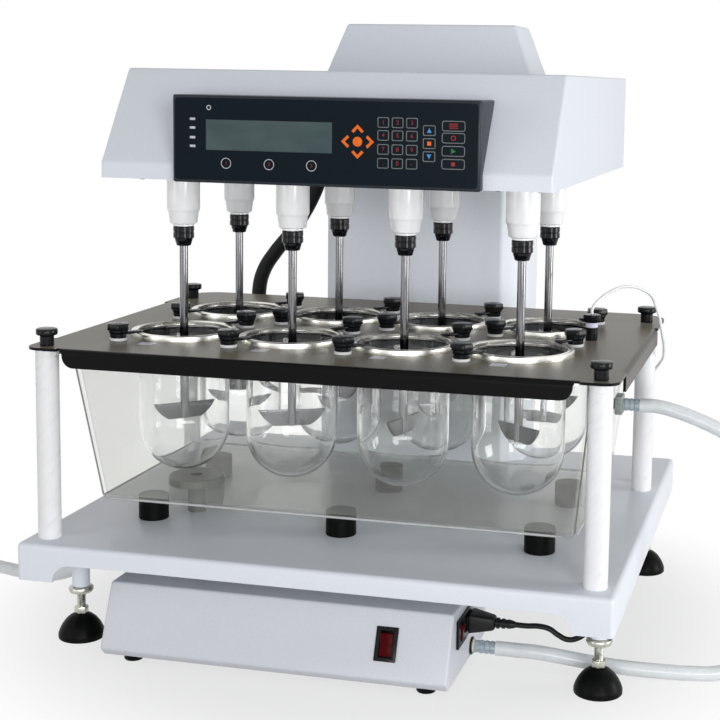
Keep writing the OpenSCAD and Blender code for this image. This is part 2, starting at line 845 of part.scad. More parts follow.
module drain_fitting() {
    color("dimgray") at_points([drain_at]) difference() {
        union() {
            bar(drain_disc_d, tank_floor, tank_floor + drain_disc_h);
            bar(drain_pipe_d, tee_z, tank_floor + cut);
            bar(tee_d, tee_z - tee_d / 2, tee_z + tee_d / 2);
            for (a = [90, 180]) translate([0, 0, tee_z]) rotate(a) barb(tee_reach);
        }
        bar(drain_bore, tee_z, tank_floor + drain_disc_h + cut);
    }
}

module hose_barbs() {
    color("lightslategray") {
        translate([inlet_x + inlet_stand, inlet_y, inlet_z]) {
            rotate([0, 90, 0]) block(inlet_block, inlet_block, 0, inlet_block_t);
            translate([-inlet_inside - inlet_stand, 0, 0]) rotate([0, 90, 0])
                cylinder(d = barb_d, h = inlet_inside + inlet_stand + cut);
            barb(inlet_end - inlet_x - inlet_stand);
        }
        translate([heater_right, outlet_y, outlet_z]) wall_barb(heater_wall, outlet_reach);
        translate([return_x, heater_back, return_z]) rotate(90) wall_barb(heater_wall, return_reach);
    }
}

module return_hose() {
    color("lightgray", 0.6) tube(return_route, hose_d, 10);
}

module supply_hose() {
    color("lightgray", 0.6) tube(supply_route, hose_d, 10);
}

module drain_hose() {
    color("lightgray", 0.6) tube(drain_route, hose_d, 10);
}

module drain_plug() {
    way = tangent(drain_route, len(drain_route) - 1);
    color("dimgray") translate(last(drain_route)) rotate(atan2(way[1], way[0])) rotate([0, 90, 0]) {
        cylinder(d = hose_d - 2, h = plug_stem + cut);
        translate([0, 0, plug_stem]) cylinder(d = hose_d, h = plug_head);
    }
}

// Cross-section of the heater box, drawn in by a wall
module heater_section(w) {
    up = atan2(heater_h - heater_chamfer, heater_lean);
    polygon([[heater_front + heater_chamfer + w, heater_z + w],
        [heater_front + w / sin(up), heater_z + heater_chamfer],
        [heater_front + heater_lean + w * tan(up / 2), heater_top - w],
        [heater_back - w, heater_top - w], [heater_back - w, heater_z + w]]);
}

// Places what follows on the heater's leaning front, with +Z out of the face and +Y up along it
module on_heater_front() {
    rise = heater_h - heater_chamfer;
    translate([switch_x, heater_front + heater_lean / 2, heater_z + heater_chamfer + rise / 2])
        rotate([atan2(rise, heater_lean), 0, 0]) children();
}

// Places what follows on the heater's right end, with +Z out of the face and +Y up
module on_heater_end(y, z) {
    translate([heater_right, y, z]) rotate([90, 0, 90]) children();
}

// Places what follows on the back of the column, with +Z out of the face and +Y up
module on_column_back() {
    translate([rear_inlet_x, column_back, rear_inlet_z]) rotate([90, 0, 180]) children();
}

module heater_case() {
    length = heater_right - heater_left;
    color("whitesmoke") difference() {
        translate([heater_left, 0, 0]) rotate([90, 0, 90]) linear_extrude(length) heater_section(0);
        translate([heater_left + heater_wall, 0, 0]) rotate([90, 0, 90])
            linear_extrude(length - 2 * heater_wall) heater_section(heater_wall);
        on_heater_front()
            block(switch_w - 2 * frame_t, switch_h - 2 * frame_t, -switch_deep / 2, switch_deep / 2);
        on_heater_end(module_y, socket_z)
            block(module_w - 2 * socket_lip, socket_h - 2 * socket_lip, -socket_deep / 2, socket_deep / 2);
        translate([heater_right - barb_d, outlet_y, outlet_z]) rotate([0, 90, 0])
            cylinder(d = barb_root + 2 * free_gap, h = 2 * barb_d);
        translate([return_x, heater_back + barb_d, return_z]) rotate([90, 0, 0])
            cylinder(d = barb_root + 2 * free_gap, h = 2 * barb_d);
    }
}

// Room for a rocker and the holes for its pin, in a frame whose front face is at z = 0
module rocker_cut(w, h, floor_at) {
    block(w + 2 * free_gap, h + 2 * rocker_room, floor_at, rocker_h);
    translate([-w / 2 - 2 * pin_reach, 0, -rocker_drop]) rotate([0, 90, 0])
        cylinder(d = rocker_pin_d + 2 * run_gap, h = w + 4 * pin_reach);
}

// A rocker in its frame's own plane, tilted about its pin
module rocker(w, h) {
    crest = rocker_drop + rocker_crest;
    translate([0, 0, -rocker_drop]) rotate([rocker_tilt, 0, 0]) {
        translate([-w / 2, 0, 0]) rotate([90, 0, 90]) linear_extrude(w)
            polygon([[-h / 2, -rocker_foot], [h / 2, -rocker_foot], [h / 2, crest], [0, crest - rocker_dish],
                [-h / 2, crest]]);
        translate([-w / 2 - pin_reach, 0, 0]) rotate([0, 90, 0])
            cylinder(d = rocker_pin_d, h = w + 2 * pin_reach);
    }
}

module heater_bezel() {
    body_w = switch_w - 2 * (frame_t + free_gap);
    body_h = switch_h - 2 * (frame_t + free_gap);
    color("black") on_heater_front() difference() {
        union() {
            block(switch_w, switch_h, 0, frame_t);
            block(body_w, body_h, -switch_deep, cut);
        }
        rocker_cut(rocker_w, rocker_h, socket_t - switch_deep);
    }
}

module heater_rocker() {
    color("red") on_heater_front() rocker(rocker_w, rocker_h);
}

// A mains inlet in its own plane: flange, body behind it and the opening for the plug's nose
module inlet_body(w, nose_x) {
    difference() {
        union() {
            block(w, socket_h, 0, socket_t);
            block(w - 2 * (socket_lip + free_gap), socket_h - 2 * (socket_lip + free_gap), -socket_deep, cut);
        }
        translate([nose_x, 0, 0])
            block(nose_w + 2 * free_gap, nose_h + 2 * free_gap, socket_t - nose_deep, socket_t + cut);
    }
}

module mains_inlets() {
    color("black") {
        on_heater_end(module_y, socket_z) difference() {
            inlet_body(module_w, socket_y - module_y);
            translate([socket_rocker_y - module_y, 0, socket_t])
                rocker_cut(socket_rocker_w, socket_rocker_h, -switch_deep);
        }
        on_column_back() inlet_body(rear_inlet_w, 0);
    }
}

module inlet_rocker() {
    color("red") on_heater_end(socket_rocker_y, socket_z) translate([0, 0, socket_t])
        rocker(socket_rocker_w, socket_rocker_h);
}

module lead_plug() {
    grip = socket_t + free_gap;
    color("black") on_heater_end(socket_y, socket_z) {
        block(nose_w, nose_h, grip - nose_deep, grip + cut);
        hull() {
            block(plug_w, plug_h, grip, grip + plug_body);
            block(plug_neck_w, plug_neck_h, plug_out / 2, plug_out / 2 + relief_rib_h);
        }
        translate([0, 0, plug_out / 2]) cylinder(d1 = relief_d, d2 = lead_d + 2, h = plug_out / 2);
        for (i = [0 : relief_ribs - 1]) translate([0, 0, plug_out - relief_tip - relief_pitch * i])
            cylinder(d = relief_tip_d + i, h = relief_rib_h);
    }
}

module lead() {
    color("black") tube(lead_route, lead_d, 8);
}

module cable_glands() {
    lead_end = last(lead_route);
    probe_end = last(probe_route);
    sleeve_end = last(sleeve_route);
    color("black") {
        at_points([lead_end]) {
            bar(lead_d + gland_neck, lead_end[2], base_under);
            bar(lead_d + lead_nut, base_under - lead_nut_h, base_under);
        }
        at_points([probe_end]) {
            bar(probe_cable_d + gland_neck, base_top, probe_end[2]);
            bar(probe_cable_d + probe_nut, base_top, base_top + probe_nut_h);
        }
        translate(sleeve_end) rotate([0, 90, 0])
            cylinder(d = sleeve_d + sleeve_nut, h = column_left - sleeve_end[0]);
    }
}

module column_plan(w) {
    half = column_w / 2 - w;
    bevel = column_bevel - w * tan(22.5);
    front = column_front + w;
    translate([column_x, 0]) polygon([[-half, column_back - w], [-half, front + bevel],
        [-half + bevel, front], [half - bevel, front], [half, front + bevel], [half, column_back - w]]);
}

module column_shell() {
    slot_w = mast_w + 2 * (carriage_wall + carriage_room);
    slot_front = screw_y - nut_d / 2 - carriage_room;
    slot_back = mast_back + carriage_wall + carriage_room / 2;
    color("gainsboro") difference() {
        translate([0, 0, base_top]) linear_extrude(column_top - base_top) column_plan(0);
        translate([0, 0, base_top - cut]) linear_extrude(column_top - base_top - column_wall + cut)
            column_plan(column_wall);
        translate([0, (slot_front + slot_back) / 2, 0])
            block(slot_w, slot_back - slot_front, column_top - 2 * column_wall, column_top + cut);
        on_column_back()
            block(rear_inlet_w - 2 * socket_lip, socket_h - 2 * socket_lip, -socket_deep / 2, socket_t);
    }
}

module lift_frame() {
    mast_y = (mast_front + mast_back) / 2;
    motor_top = base_top + lift_motor_h;
    color("silver") {
        translate([0, mast_y, 0]) difference() {
            block(mast_w, mast_d, base_top, mast_top);
            block(mast_w - 2 * mast_wall, mast_d - 2 * mast_wall, base_top - cut, mast_top + cut);
        }
        translate([0, screw_y, 0]) difference() {
            block(lift_motor_w, lift_motor_w, base_top, motor_top);
            bar(screw_d + 2 * run_gap, motor_top - bearing_h, motor_top + cut);
        }
    }
}

module lift_screw() {
    foot = base_top + lift_motor_h - bearing_h + free_gap;
    color("silver") translate([0, screw_y, 0]) bar(screw_d, foot, screw_top);
}

module lift_carriage() {
    mast_y = (mast_front + mast_back) / 2;
    outer_w = mast_w + 2 * (free_gap + carriage_wall);
    outer_d = mast_d + 2 * (free_gap + carriage_wall);
    color("silver") difference() {
        union() {
            translate([0, mast_y, 0]) block(outer_w, outer_d, carriage_bottom, floor_z);
            translate([0, (screw_y + mast_front) / 2, 0])
                block(nut_d, mast_front - screw_y, carriage_bottom, floor_z);
            translate([0, screw_y, 0]) bar(nut_d, carriage_bottom, floor_z);
        }
        translate([0, mast_y, 0])
            block(mast_w + 2 * free_gap, mast_d + 2 * free_gap, carriage_bottom - cut, floor_z + cut);
        translate([0, screw_y, 0]) bar(screw_d + 2 * run_gap, carriage_bottom - cut, floor_z + cut);
    }
}

// The head's outer form, drawn in by a wall; it runs below the head's underside, where it is cut off
module head_form(w) {
    e = head_edge_r;
    half = head_w / 2 - e;
    lean = atan2(head_slope, head_top - lip_top);
    low = head_bottom - e - cut;
    corners = [[head_front + e, low], [head_back - e, low], [head_back - e, head_top - e],
        [head_brow + e * tan(45 - lean / 2), head_top - e], [head_front + e, lip_top - e * tan(lean / 2)]];
    hull() for (x = [-half, half], p = corners) translate([x, p[0], p[1]]) sphere(e - w, $fn = soft_fn);
}

module head_cover() {
    color("white") difference() {
        head_form(0);
        head_form(head_wall);
        translate([0, (head_front + head_back) / 2, 0])
            block(2 * head_w, 2 * head_w, head_bottom - 2 * head_h, head_bottom);
        translate([0, (hood_front + hood_back) / 2, 0])
            block(hood_w - 2 * hood_rim, hood_back - hood_front - 2 * hood_rim, head_top - hood_rim,
                head_top + cut);
    }
}

module head_plate() {
    inset = head_wall + free_gap;
    half = head_w / 2 - inset;
    mast_y = (mast_front + mast_back) / 2;
    color("silver") difference() {
        translate([0, 0, floor_z]) linear_extrude(floor_t)
            rounded_rect(-half, head_front + inset, half, head_back - inset, head_edge_r);
        at_vessels() bar(spindle_d + 2 * mast_room, floor_z - cut, floor_top + cut);
        translate([0, mast_y, 0])
            block(mast_w + 2 * mast_room, mast_d + 2 * mast_room, floor_z - cut, floor_top + cut);
        translate([0, screw_y, 0]) bar(screw_d + 2 * mast_room, floor_z - cut, floor_top + cut);
    }
}

// The hood's tapered form, drawn in by a wall and open below
module hood_form(w) {
    e = hood_edge_r;
    half = hood_w / 2 - e;
    hull() for (s = [-1, 1]) {
        for (y = [hood_front + e, hood_back - e]) translate([s * half, y, head_top - 2 * w])
            cylinder(r = e - w, h = cut, $fn = soft_fn);
        for (y = [hood_front + e + hood_taper / 2, hood_back - e - hood_back_taper])
            translate([s * (half - hood_taper), y, hood_top - e]) sphere(e - w, $fn = soft_fn);
    }
}

module hood() {
    color("white") difference() {
        hood_form(0);
        hood_form(head_wall);
    }
}

module panel_housing() {
    color("black") translate([panel_x - panel_w / 2, 0, 0]) rotate([90, 0, 90]) linear_extrude(panel_w)
        polygon([[panel_front, panel_bottom], [panel_front, panel_top], [slope_y(panel_top), panel_top],
            [head_front, lip_top], [head_front, panel_bottom]]);
}

module panel_overlay() {
    half = panel_w / 2 - overlay_edge;
    color("dimgray") translate([panel_x, panel_front, panel_bottom]) rotate([90, 0, 0])
        linear_extrude(overlay_t) difference() {
            rounded_rect(-half, overlay_edge, half, panel_h - overlay_edge, overlay_r);
            translate([lcd_x - lcd_w / 2, lcd_z - lcd_h / 2]) square([lcd_w, lcd_h]);
        }
}

// A flanged pulley at the height of the belt
module pulley() {
    bar(pulley_d, pulley_z, pulley_z + pulley_h);
    for (z = [pulley_z, pulley_z + pulley_h - pulley_rim_t])
        bar(pulley_d + 2 * pulley_rim, z, z + pulley_rim_t);
}

module drive_motor() {
    plate = 2 * (motor_leg + motor_foot);
    color("dimgray") translate([0, row_back, 0]) difference() {
        union() {
            for (x = [-motor_leg, motor_leg], y = [-motor_leg, motor_leg]) translate([x, y, 0])
                bar(motor_leg_d, floor_top, motor_plate_z + cut);
            block(plate, plate, motor_plate_z, motor_plate_z + motor_plate_t);
            bar(motor_d, motor_plate_z + motor_plate_t - cut, motor_plate_z + motor_plate_t + motor_h);
        }
        bar(motor_shaft_d + 2 * run_gap, motor_plate_z - cut, motor_plate_z + motor_bore);
    }
}

module motor_pulley() {
    color("silver") translate([0, row_back, 0]) {
        pulley();
        bar(motor_shaft_d, pulley_z, motor_plate_z + motor_bore - free_gap);
    }
}

module belt_outline(r) {
    rounded_rect(vessel_x(0) - r, row_front - r, vessel_x(3) + r, row_back + r, r);
}

module drive_belt() {
    inner = pulley_d / 2 + free_gap;
    color("black") translate([0, 0, belt_z]) linear_extrude(belt_w) difference() {
        belt_outline(inner + belt_t);
        belt_outline(inner);
    }
}

module spindle_housings() {
    color("white") at_vessels() difference() {
        union() {
            bar(housing_d, housing_bottom + housing_taper, floor_z);
            translate([0, 0, housing_bottom])
                cylinder(d1 = housing_d * 0.84, d2 = housing_d, h = housing_taper);
            bar(chuck_d, housing_bottom - neck_h, housing_bottom + cut);
        }
        bar(spindle_d + 2 * run_gap, housing_bottom - neck_h - cut, floor_z + cut);
    }
}

// A chuck with its stepped nose, and the hollow spindle and pulley above it
module chuck(k) {
    nose = chuck_h * 0.3;
    groove = chuck_h * 0.08;
    waist_d = chuck_d * 0.86;
    grip_z = chuck_bottom + nose + groove;
    color("black") translate([vessel_x(k), vessel_y(k), 0]) difference() {
        union() {
            translate([0, 0, chuck_bottom]) cylinder(d1 = chuck_d * 0.7, d2 = waist_d, h = nose);
            bar(waist_d, chuck_bottom + nose, chuck_top);
            bar(chuck_d, grip_z, chuck_top - 2 * groove);
            bar(spindle_d, chuck_top - cut, pulley_z + cut);
            pulley();
        }
        bar(shaft_d + 2 * run_gap, chuck_bottom - cut, pulley_z + pulley_h + cut);
    }
}

// A paddle: the shaft, and the blade across it, which is turned as one with it
module paddle(k) {
    color("lightsteelblue") translate([vessel_x(k), vessel_y(k), 0]) rotate(blade_turn[k]) {
        rotate(90) bar(shaft_d, blade_bottom, shaft_top);
        translate([0, blade_t / 2, blade_top + blade_drop]) rotate([90, 0, 0])
            linear_extrude(blade_t) intersection() {
                circle(blade_r);
                translate([-blade_r, -blade_drop - blade_h]) square([2 * blade_r, blade_h]);
            }
    }
}

module temperature_probe() {
    color("black") at_points([probe_from]) {
        bar(probe_d, vessel_ball, plate_top + cut);
        bar(probe_cap_d, plate_top, plate_top + probe_cap_h);
        bar(probe_knob_d, plate_top + probe_cap_h - probe_knob_h, plate_top + probe_cap_h);
    }
}

module probe_cable() {
    color("lightgray") tube(probe_route, probe_cable_d, 8);
}

module cable_sleeve() {
    color("black") tube(sleeve_route, sleeve_d, 12);
}

base_tray();
corner_posts();
corner_knobs();
vessel_plate();
vessel_rings();
vessel_clamps();
clamp_knobs();
vessels();
tank();
rubber_feet();
drain_fitting();
hose_barbs();
return_hose();
supply_hose();
drain_hose();
drain_plug();
heater_case();
heater_bezel();
heater_rocker();
mains_inlets();
inlet_rocker();
lead_plug();
lead();
cable_glands();
foot_stem(0);  // foot_stem_1
foot_stem(1);  // foot_stem_2
foot_stem(2);  // foot_stem_3
foot_stem(3);  // foot_stem_4
column_shell();
lift_frame();
lift_screw();
temperature_probe();
probe_cable();
head_cover();
head_plate();
hood();
panel_housing();
panel_overlay();
lift_carriage();
drive_motor();
motor_pulley();
drive_belt();
spindle_housings();
chuck(0);  // chuck_1
chuck(1);  // chuck_2
chuck(2);  // chuck_3
chuck(3);  // chuck_4
chuck(4);  // chuck_5
chuck(5);  // chuck_6
chuck(6);  // chuck_7
chuck(7);  // chuck_8
paddle(0);  // paddle_1
paddle(1);  // paddle_2
paddle(2);  // paddle_3
paddle(3);  // paddle_4
paddle(4);  // paddle_5
paddle(5);  // paddle_6
paddle(6);  // paddle_7
paddle(7);  // paddle_8
cable_sleeve();
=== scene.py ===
"""Looks of the eight-place dissolution tester: finishes, turned and folded pieces, hoses and the studio."""

import math

import bmesh
import bpy
from mathutils import Matrix, Vector
from mathutils.geometry import interpolate_bezier


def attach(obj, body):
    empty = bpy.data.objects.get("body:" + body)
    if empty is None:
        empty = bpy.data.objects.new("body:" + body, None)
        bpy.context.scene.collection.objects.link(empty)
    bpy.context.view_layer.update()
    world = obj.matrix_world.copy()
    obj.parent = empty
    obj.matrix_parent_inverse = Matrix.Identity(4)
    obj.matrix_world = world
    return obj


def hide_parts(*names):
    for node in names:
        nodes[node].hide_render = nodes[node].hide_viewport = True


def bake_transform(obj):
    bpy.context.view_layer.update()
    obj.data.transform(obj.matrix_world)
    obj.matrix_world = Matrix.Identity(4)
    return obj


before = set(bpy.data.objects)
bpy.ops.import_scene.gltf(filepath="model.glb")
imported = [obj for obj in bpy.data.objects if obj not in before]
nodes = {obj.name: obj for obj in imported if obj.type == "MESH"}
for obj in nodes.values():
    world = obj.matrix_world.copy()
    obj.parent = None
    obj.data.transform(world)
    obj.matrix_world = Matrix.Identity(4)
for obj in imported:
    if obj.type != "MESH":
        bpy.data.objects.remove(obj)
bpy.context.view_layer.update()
MM = 0.001


def m(*values):
    """Millimetres as a point in metres."""
    return Vector(values) * MM


def placed(name, data):
    """A new object with this data, in the scene."""
    thing = bpy.data.objects.new(name, data)
    bpy.context.scene.collection.objects.link(thing)
    return thing


# Camera

camera = placed("camera", bpy.data.cameras.new("camera"))
bpy.context.scene.camera = camera
camera.data.sensor_width = 36
camera.data.lens = 75
camera.data.shift_x = -0.1597
camera.data.shift_y = -0.1278
camera.data.clip_end = 60
camera_at = m(504.86, -1712.81, 635.46)
yaw, pitch, roll = 0.2265, 0.1216, 0.0185
level_right = Vector((math.cos(yaw), math.sin(yaw), 0))
ahead = Vector((-math.sin(yaw) * math.cos(pitch), math.cos(yaw) * math.cos(pitch), -math.sin(pitch)))
level_down = -level_right.cross(ahead)
image_right = math.cos(roll) * level_right - math.sin(roll) * level_down
image_down = math.sin(roll) * level_right + math.cos(roll) * level_down
turned_to = Matrix((image_right, -image_down, -ahead)).transposed().to_4x4()
camera.matrix_world = Matrix.Translation(camera_at) @ turned_to

# Steps of a finish


def preset(node, settings):
    """Sets constants on a node's own inputs."""
    for socket, value in settings.items():
        node.inputs[socket.replace("_", " ")].default_value = value
    return node


def new_node(tree, kind, **settings):
    return preset(tree.nodes.new(kind), settings)


def ranged(tree, value, to_range, from_range=(0, 1)):
    """A value of one range mapped to another."""
    node = new_node(tree, "ShaderNodeMapRange", From_Min=from_range[0], From_Max=from_range[1],
                    To_Min=to_range[0], To_Max=to_range[1])
    tree.links.new(value, node.inputs["Value"])
    return node.outputs["Result"]


def worked(tree, operation, first, second):
    """One step of arithmetic on two values."""
    step = new_node(tree, "ShaderNodeMath")
    step.operation = operation
    tree.links.new(first, step.inputs[0])
    tree.links.new(second, step.inputs[1])
    return step.outputs["Value"]


def see_through(tree, tint):
    """A clear surface with a tint."""
    return new_node(tree, "ShaderNodeBsdfTransparent", Color=(*tint, 1)).outputs["BSDF"]


def surfaced(tree, share, first, second):
    """Shows a mix of two surfaces: the share is that of the second."""
    both = new_node(tree, "ShaderNodeMixShader")
    for i, source in enumerate((share, first, second)):
        tree.links.new(source, both.inputs[i])
    tree.links.new(both.outputs["Shader"], tree.nodes["Material Output"].inputs["Surface"])


# Finishes

TONE_SPAN, GLOSS_SPAN = (0.32, 0.68), (0.3, 0.7)


def finish(name, tones, gloss, grain, relief, stretch=(1, 1, 1), depth=0.0002, along="Object", **plain):
    """A procedural finish: one grain, of a size in metres, gives the tone, the gloss and the relief."""
    material = bpy.data.materials.new(name)
    material.use_nodes = True
    tree = material.node_tree
    shader = preset(tree.nodes["Principled BSDF"], plain)
    mapping = new_node(tree, "ShaderNodeMapping", Scale=stretch)
    tree.links.new(new_node(tree, "ShaderNodeTexCoord").outputs[along], mapping.inputs["Vector"])
    noise = new_node(tree, "ShaderNodeTexNoise", Scale=1 / grain, Detail=5)
    tree.links.new(mapping.outputs["Vector"], noise.inputs["Vector"])
    tone = new_node(tree, "ShaderNodeValToRGB")
    for stop, position, colour in zip(tone.color_ramp.elements, TONE_SPAN, tones):
        stop.position = position
        stop.color = (*colour, 1)
    tree.links.new(noise.outputs["Fac"], tone.inputs["Fac"])
    tree.links.new(tone.outputs["Color"], shader.inputs["Base Color"])
    tree.links.new(ranged(tree, noise.outputs["Fac"], gloss, GLOSS_SPAN), shader.inputs["Roughness"])
    bump = new_node(tree, "ShaderNodeBump", Strength=relief, Distance=depth)
    tree.links.new(noise.outputs["Fac"], bump.inputs["Height"])
    tree.links.new(bump.outputs["Normal"], shader.inputs["Normal"])
    return material


def ink(name, *tones):
    """The print of a coloured key."""
    return finish(name, tones, (0.3, 0.4), 0.003, 0.05, Specular_IOR_Level=0.2)


powder_coat = finish("powder_coat", ((0.74, 0.775, 0.84), (0.775, 0.81, 0.875)), (0.30, 0.40), 0.0016, 0.10)
head_paint = finish("head_paint", ((0.655, 0.69, 0.755), (0.69, 0.725, 0.79)), (0.34, 0.44), 0.0016, 0.10)
# Painted light: the column's white is painted lighter than the base's white, to make up for the shade that the head
# casts on the column
column_paint_painted_lighter = finish("column_paint_painted_lighter", ((0.80, 0.84, 0.91), (0.84, 0.88, 0.94)), (0.34, 0.44), 0.0016, 0.10)
heater_paint = finish("heater_paint", ((0.62, 0.64, 0.69), (0.655, 0.675, 0.725)), (0.30, 0.40), 0.0018, 0.10)
post_paint = finish("post_paint", ((0.815, 0.82, 0.845), (0.85, 0.855, 0.875)), (0.26, 0.36), 0.03, 0.05, (1, 4, 1),
                    0.0003, "UV")
housing_white = finish("housing_white", ((0.86, 0.865, 0.875), (0.90, 0.905, 0.915)), (0.10, 0.17), 0.012, 0.03,
                       Coat_Weight=0.4, Coat_Roughness=0.06)
clamp_white = finish("clamp_white", ((0.78, 0.785, 0.79), (0.83, 0.835, 0.84)), (0.2, 0.3), 0.004, 0.05)
plate_black = finish("plate_black", ((0.0022, 0.0022, 0.0026), (0.0038, 0.0038, 0.0044)), (0.27, 0.34), 0.0009, 0.08,
                     Specular_IOR_Level=0.09, Sheen_Weight=0.22, Sheen_Roughness=0.28,
                     Sheen_Tint=(1.0, 0.90, 0.72, 1))
knob_black = finish("knob_black", ((0.004, 0.0045, 0.005), (0.009, 0.0095, 0.011)), (0.14, 0.24), 0.004, 0.06,
                    Specular_IOR_Level=0.16)
chuck_black = finish("chuck_black", ((0.003, 0.0035, 0.005), (0.006, 0.0065, 0.009)), (0.05, 0.11), 0.006, 0.03,
                     Specular_IOR_Level=0.25)
rubber_black = finish("rubber_black", ((0.0015, 0.0018, 0.0017), (0.004, 0.0043, 0.004)), (0.30, 0.45), 0.0035, 0.2,
                      Specular_IOR_Level=0.07)
sleeve_black = finish("sleeve_black", ((0.004, 0.004, 0.005), (0.010, 0.010, 0.011)), (0.45, 0.65), 0.002, 0.5,
                      Specular_IOR_Level=0.2)
lead_black = finish("lead_black", ((0.004, 0.004, 0.005), (0.009, 0.009, 0.010)), (0.28, 0.42), 0.003, 0.15,
                    Specular_IOR_Level=0.25)
panel_black = finish("panel_black", ((0.007, 0.012, 0.019), (0.011, 0.017, 0.025)), (0.26, 0.36), 0.002, 0.08,
                     Specular_IOR_Level=0.28)
overlay_film = finish("overlay_film", ((0.0015, 0.0055, 0.0095), (0.003, 0.008, 0.013)), (0.30, 0.40), 0.0007, 0.10,
                      Specular_IOR_Level=0.08)
ring_steel = finish("ring_steel", ((0.80, 0.785, 0.73), (0.88, 0.865, 0.81)), (0.24, 0.32), 0.02, 0.0, (1, 1, 6),
                    Metallic=1.0)
shaft_steel = finish("shaft_steel", ((0.15, 0.15, 0.16), (0.24, 0.24, 0.25)), (0.08, 0.18), 0.02, 0.05,
                     (9, 9, 0.6), Metallic=1.0)
blade_steel = finish("blade_steel", ((0.16, 0.165, 0.175), (0.24, 0.245, 0.255)), (0.24, 0.36), 0.03, 0.03,
                     Metallic=1.0)
zinc = finish("zinc", ((0.40, 0.41, 0.35), (0.60, 0.61, 0.55)), (0.20, 0.42), 0.005, 0.18, Metallic=1.0)
mill_steel = finish("mill_steel", ((0.40, 0.40, 0.41), (0.55, 0.55, 0.56)), (0.28, 0.45), 0.01, 0.15, (6, 6, 0.8),
                    Metallic=1.0)
motor_paint = finish("motor_paint", ((0.045, 0.047, 0.05), (0.07, 0.072, 0.075)), (0.4, 0.55), 0.003, 0.2)
belt_rubber = finish("belt_rubber", ((0.010, 0.010, 0.010), (0.02, 0.02, 0.02)), (0.55, 0.75), 0.002, 0.4)
vessel_glass = finish("vessel_glass", ((0.985, 0.99, 0.992), (0.996, 0.998, 0.999)), (0.0, 0.012), 0.03, 0.015,
                      Transmission_Weight=1.0, IOR=1.47)
tank_acrylic = finish("tank_acrylic", ((0.55, 0.555, 0.52), (0.61, 0.615, 0.58)), (0.03, 0.08), 0.06, 0.02)
# Painted highlight: pale seams for the light along the tank's rounded floor edge
seam_pale_painted_highlight = finish("seam_pale_painted_highlight", ((0.46, 0.47, 0.48), (0.52, 0.53, 0.54)), (0.12, 0.2), 0.01, 0.05)
# Painted shade: olive seams for the dark line down the tank's curved corners
seam_olive_painted_shade = finish("seam_olive_painted_shade", ((0.16, 0.165, 0.135), (0.21, 0.215, 0.18)), (0.2, 0.3), 0.01, 0.05)
hose_milky = finish("hose_milky", ((0.75, 0.785, 0.81), (0.81, 0.84, 0.86)), (0.16, 0.24), 0.012, 0.02,
                    Coat_Weight=0.4, Coat_Roughness=0.1)
barb_blue = finish("barb_blue", ((0.30, 0.37, 0.42), (0.44, 0.51, 0.56)), (0.16, 0.26), 0.004, 0.08)
inlet_grey = finish("inlet_grey", ((0.20, 0.235, 0.225), (0.28, 0.315, 0.30)), (0.25, 0.38), 0.004, 0.1)
drain_grey = finish("drain_grey", ((0.12, 0.125, 0.115), (0.165, 0.17, 0.16)), (0.3, 0.42), 0.005, 0.1)
washer_cream = finish("washer_cream", ((0.62, 0.57, 0.42), (0.74, 0.69, 0.54)), (0.35, 0.5), 0.003, 0.15)
probe_grey = finish("probe_grey", ((0.76, 0.77, 0.78), (0.83, 0.84, 0.85)), (0.3, 0.45), 0.004, 0.1)
label_pale = finish("label_pale", ((0.60, 0.63, 0.75), (0.69, 0.71, 0.82)), (0.3, 0.4), 0.003, 0.05)
rocker_red = finish("rocker_red", ((0.055, 0.001, 0.002), (0.075, 0.0015, 0.003)), (0.2, 0.3), 0.006, 0.02,
                    Specular_IOR_Level=0.04)
key_grey = finish("key_grey", ((0.10, 0.115, 0.12), (0.15, 0.165, 0.17)), (0.35, 0.45), 0.002, 0.05)
key_white = finish("key_white", ((0.42, 0.43, 0.46), (0.52, 0.53, 0.55)), (0.3, 0.4), 0.002, 0.05)
key_orange = ink("key_orange", (0.72, 0.125, 0.006), (0.82, 0.16, 0.010))
key_red = ink("key_red", (0.24, 0.018, 0.016), (0.32, 0.026, 0.022))
key_blue = ink("key_blue", (0.05, 0.24, 0.56), (0.07, 0.30, 0.66))
key_green = ink("key_green", (0.01, 0.16, 0.03), (0.015, 0.21, 0.04))
display_glass = finish("display_glass", ((0.036, 0.066, 0.070), (0.058, 0.088, 0.092)), (0.14, 0.22), 0.04, 0.02,
                       (1, 1, 2), Specular_IOR_Level=0.3)


def lets_lamps_through(material, tint):
    """A clear finish for the eye, which the lamps shine through."""
    tree = material.node_tree
    shown = tree.nodes["Material Output"].inputs["Surface"].links[0].from_socket
    path = new_node(tree, "ShaderNodeLightPath")
    surfaced(tree, path.outputs["Is Shadow Ray"], shown, see_through(tree, tint))


def clear_sheet(material, tint, face_on, edge_on, fall):
    """A hazy clear sheet: the share of haze face on and along the sheet, and how late it rises between."""
    tree = material.node_tree
    slant = new_node(tree, "ShaderNodeLayerWeight", Blend=0.5)
    steep = new_node(tree, "ShaderNodeMath")
    steep.operation = "POWER"
    steep.inputs[1].default_value = fall
    tree.links.new(slant.outputs["Facing"], steep.inputs[0])
    haze = ranged(tree, steep.outputs["Value"], (face_on, edge_on))
    surfaced(tree, haze, see_through(tree, tint), tree.nodes["Principled BSDF"].outputs["BSDF"])


clear_sheet(tank_acrylic, (0.99, 0.992, 0.986), 0.015, 0.6, 2.2)
lets_lamps_through(tank_acrylic, (0.985, 0.987, 0.98))
lets_lamps_through(vessel_glass, (0.98, 0.982, 0.982))

# Shaping

SHARP = math.radians(32)


def arc(r, z, start, end, steps):
    """Points (radius, height) of a round in a turned profile, in degrees."""
    return [(r * math.cos(math.radians(start + (end - start) * i / steps)),
             z + r * math.sin(math.radians(start + (end - start) * i / steps))) for i in range(steps + 1)]


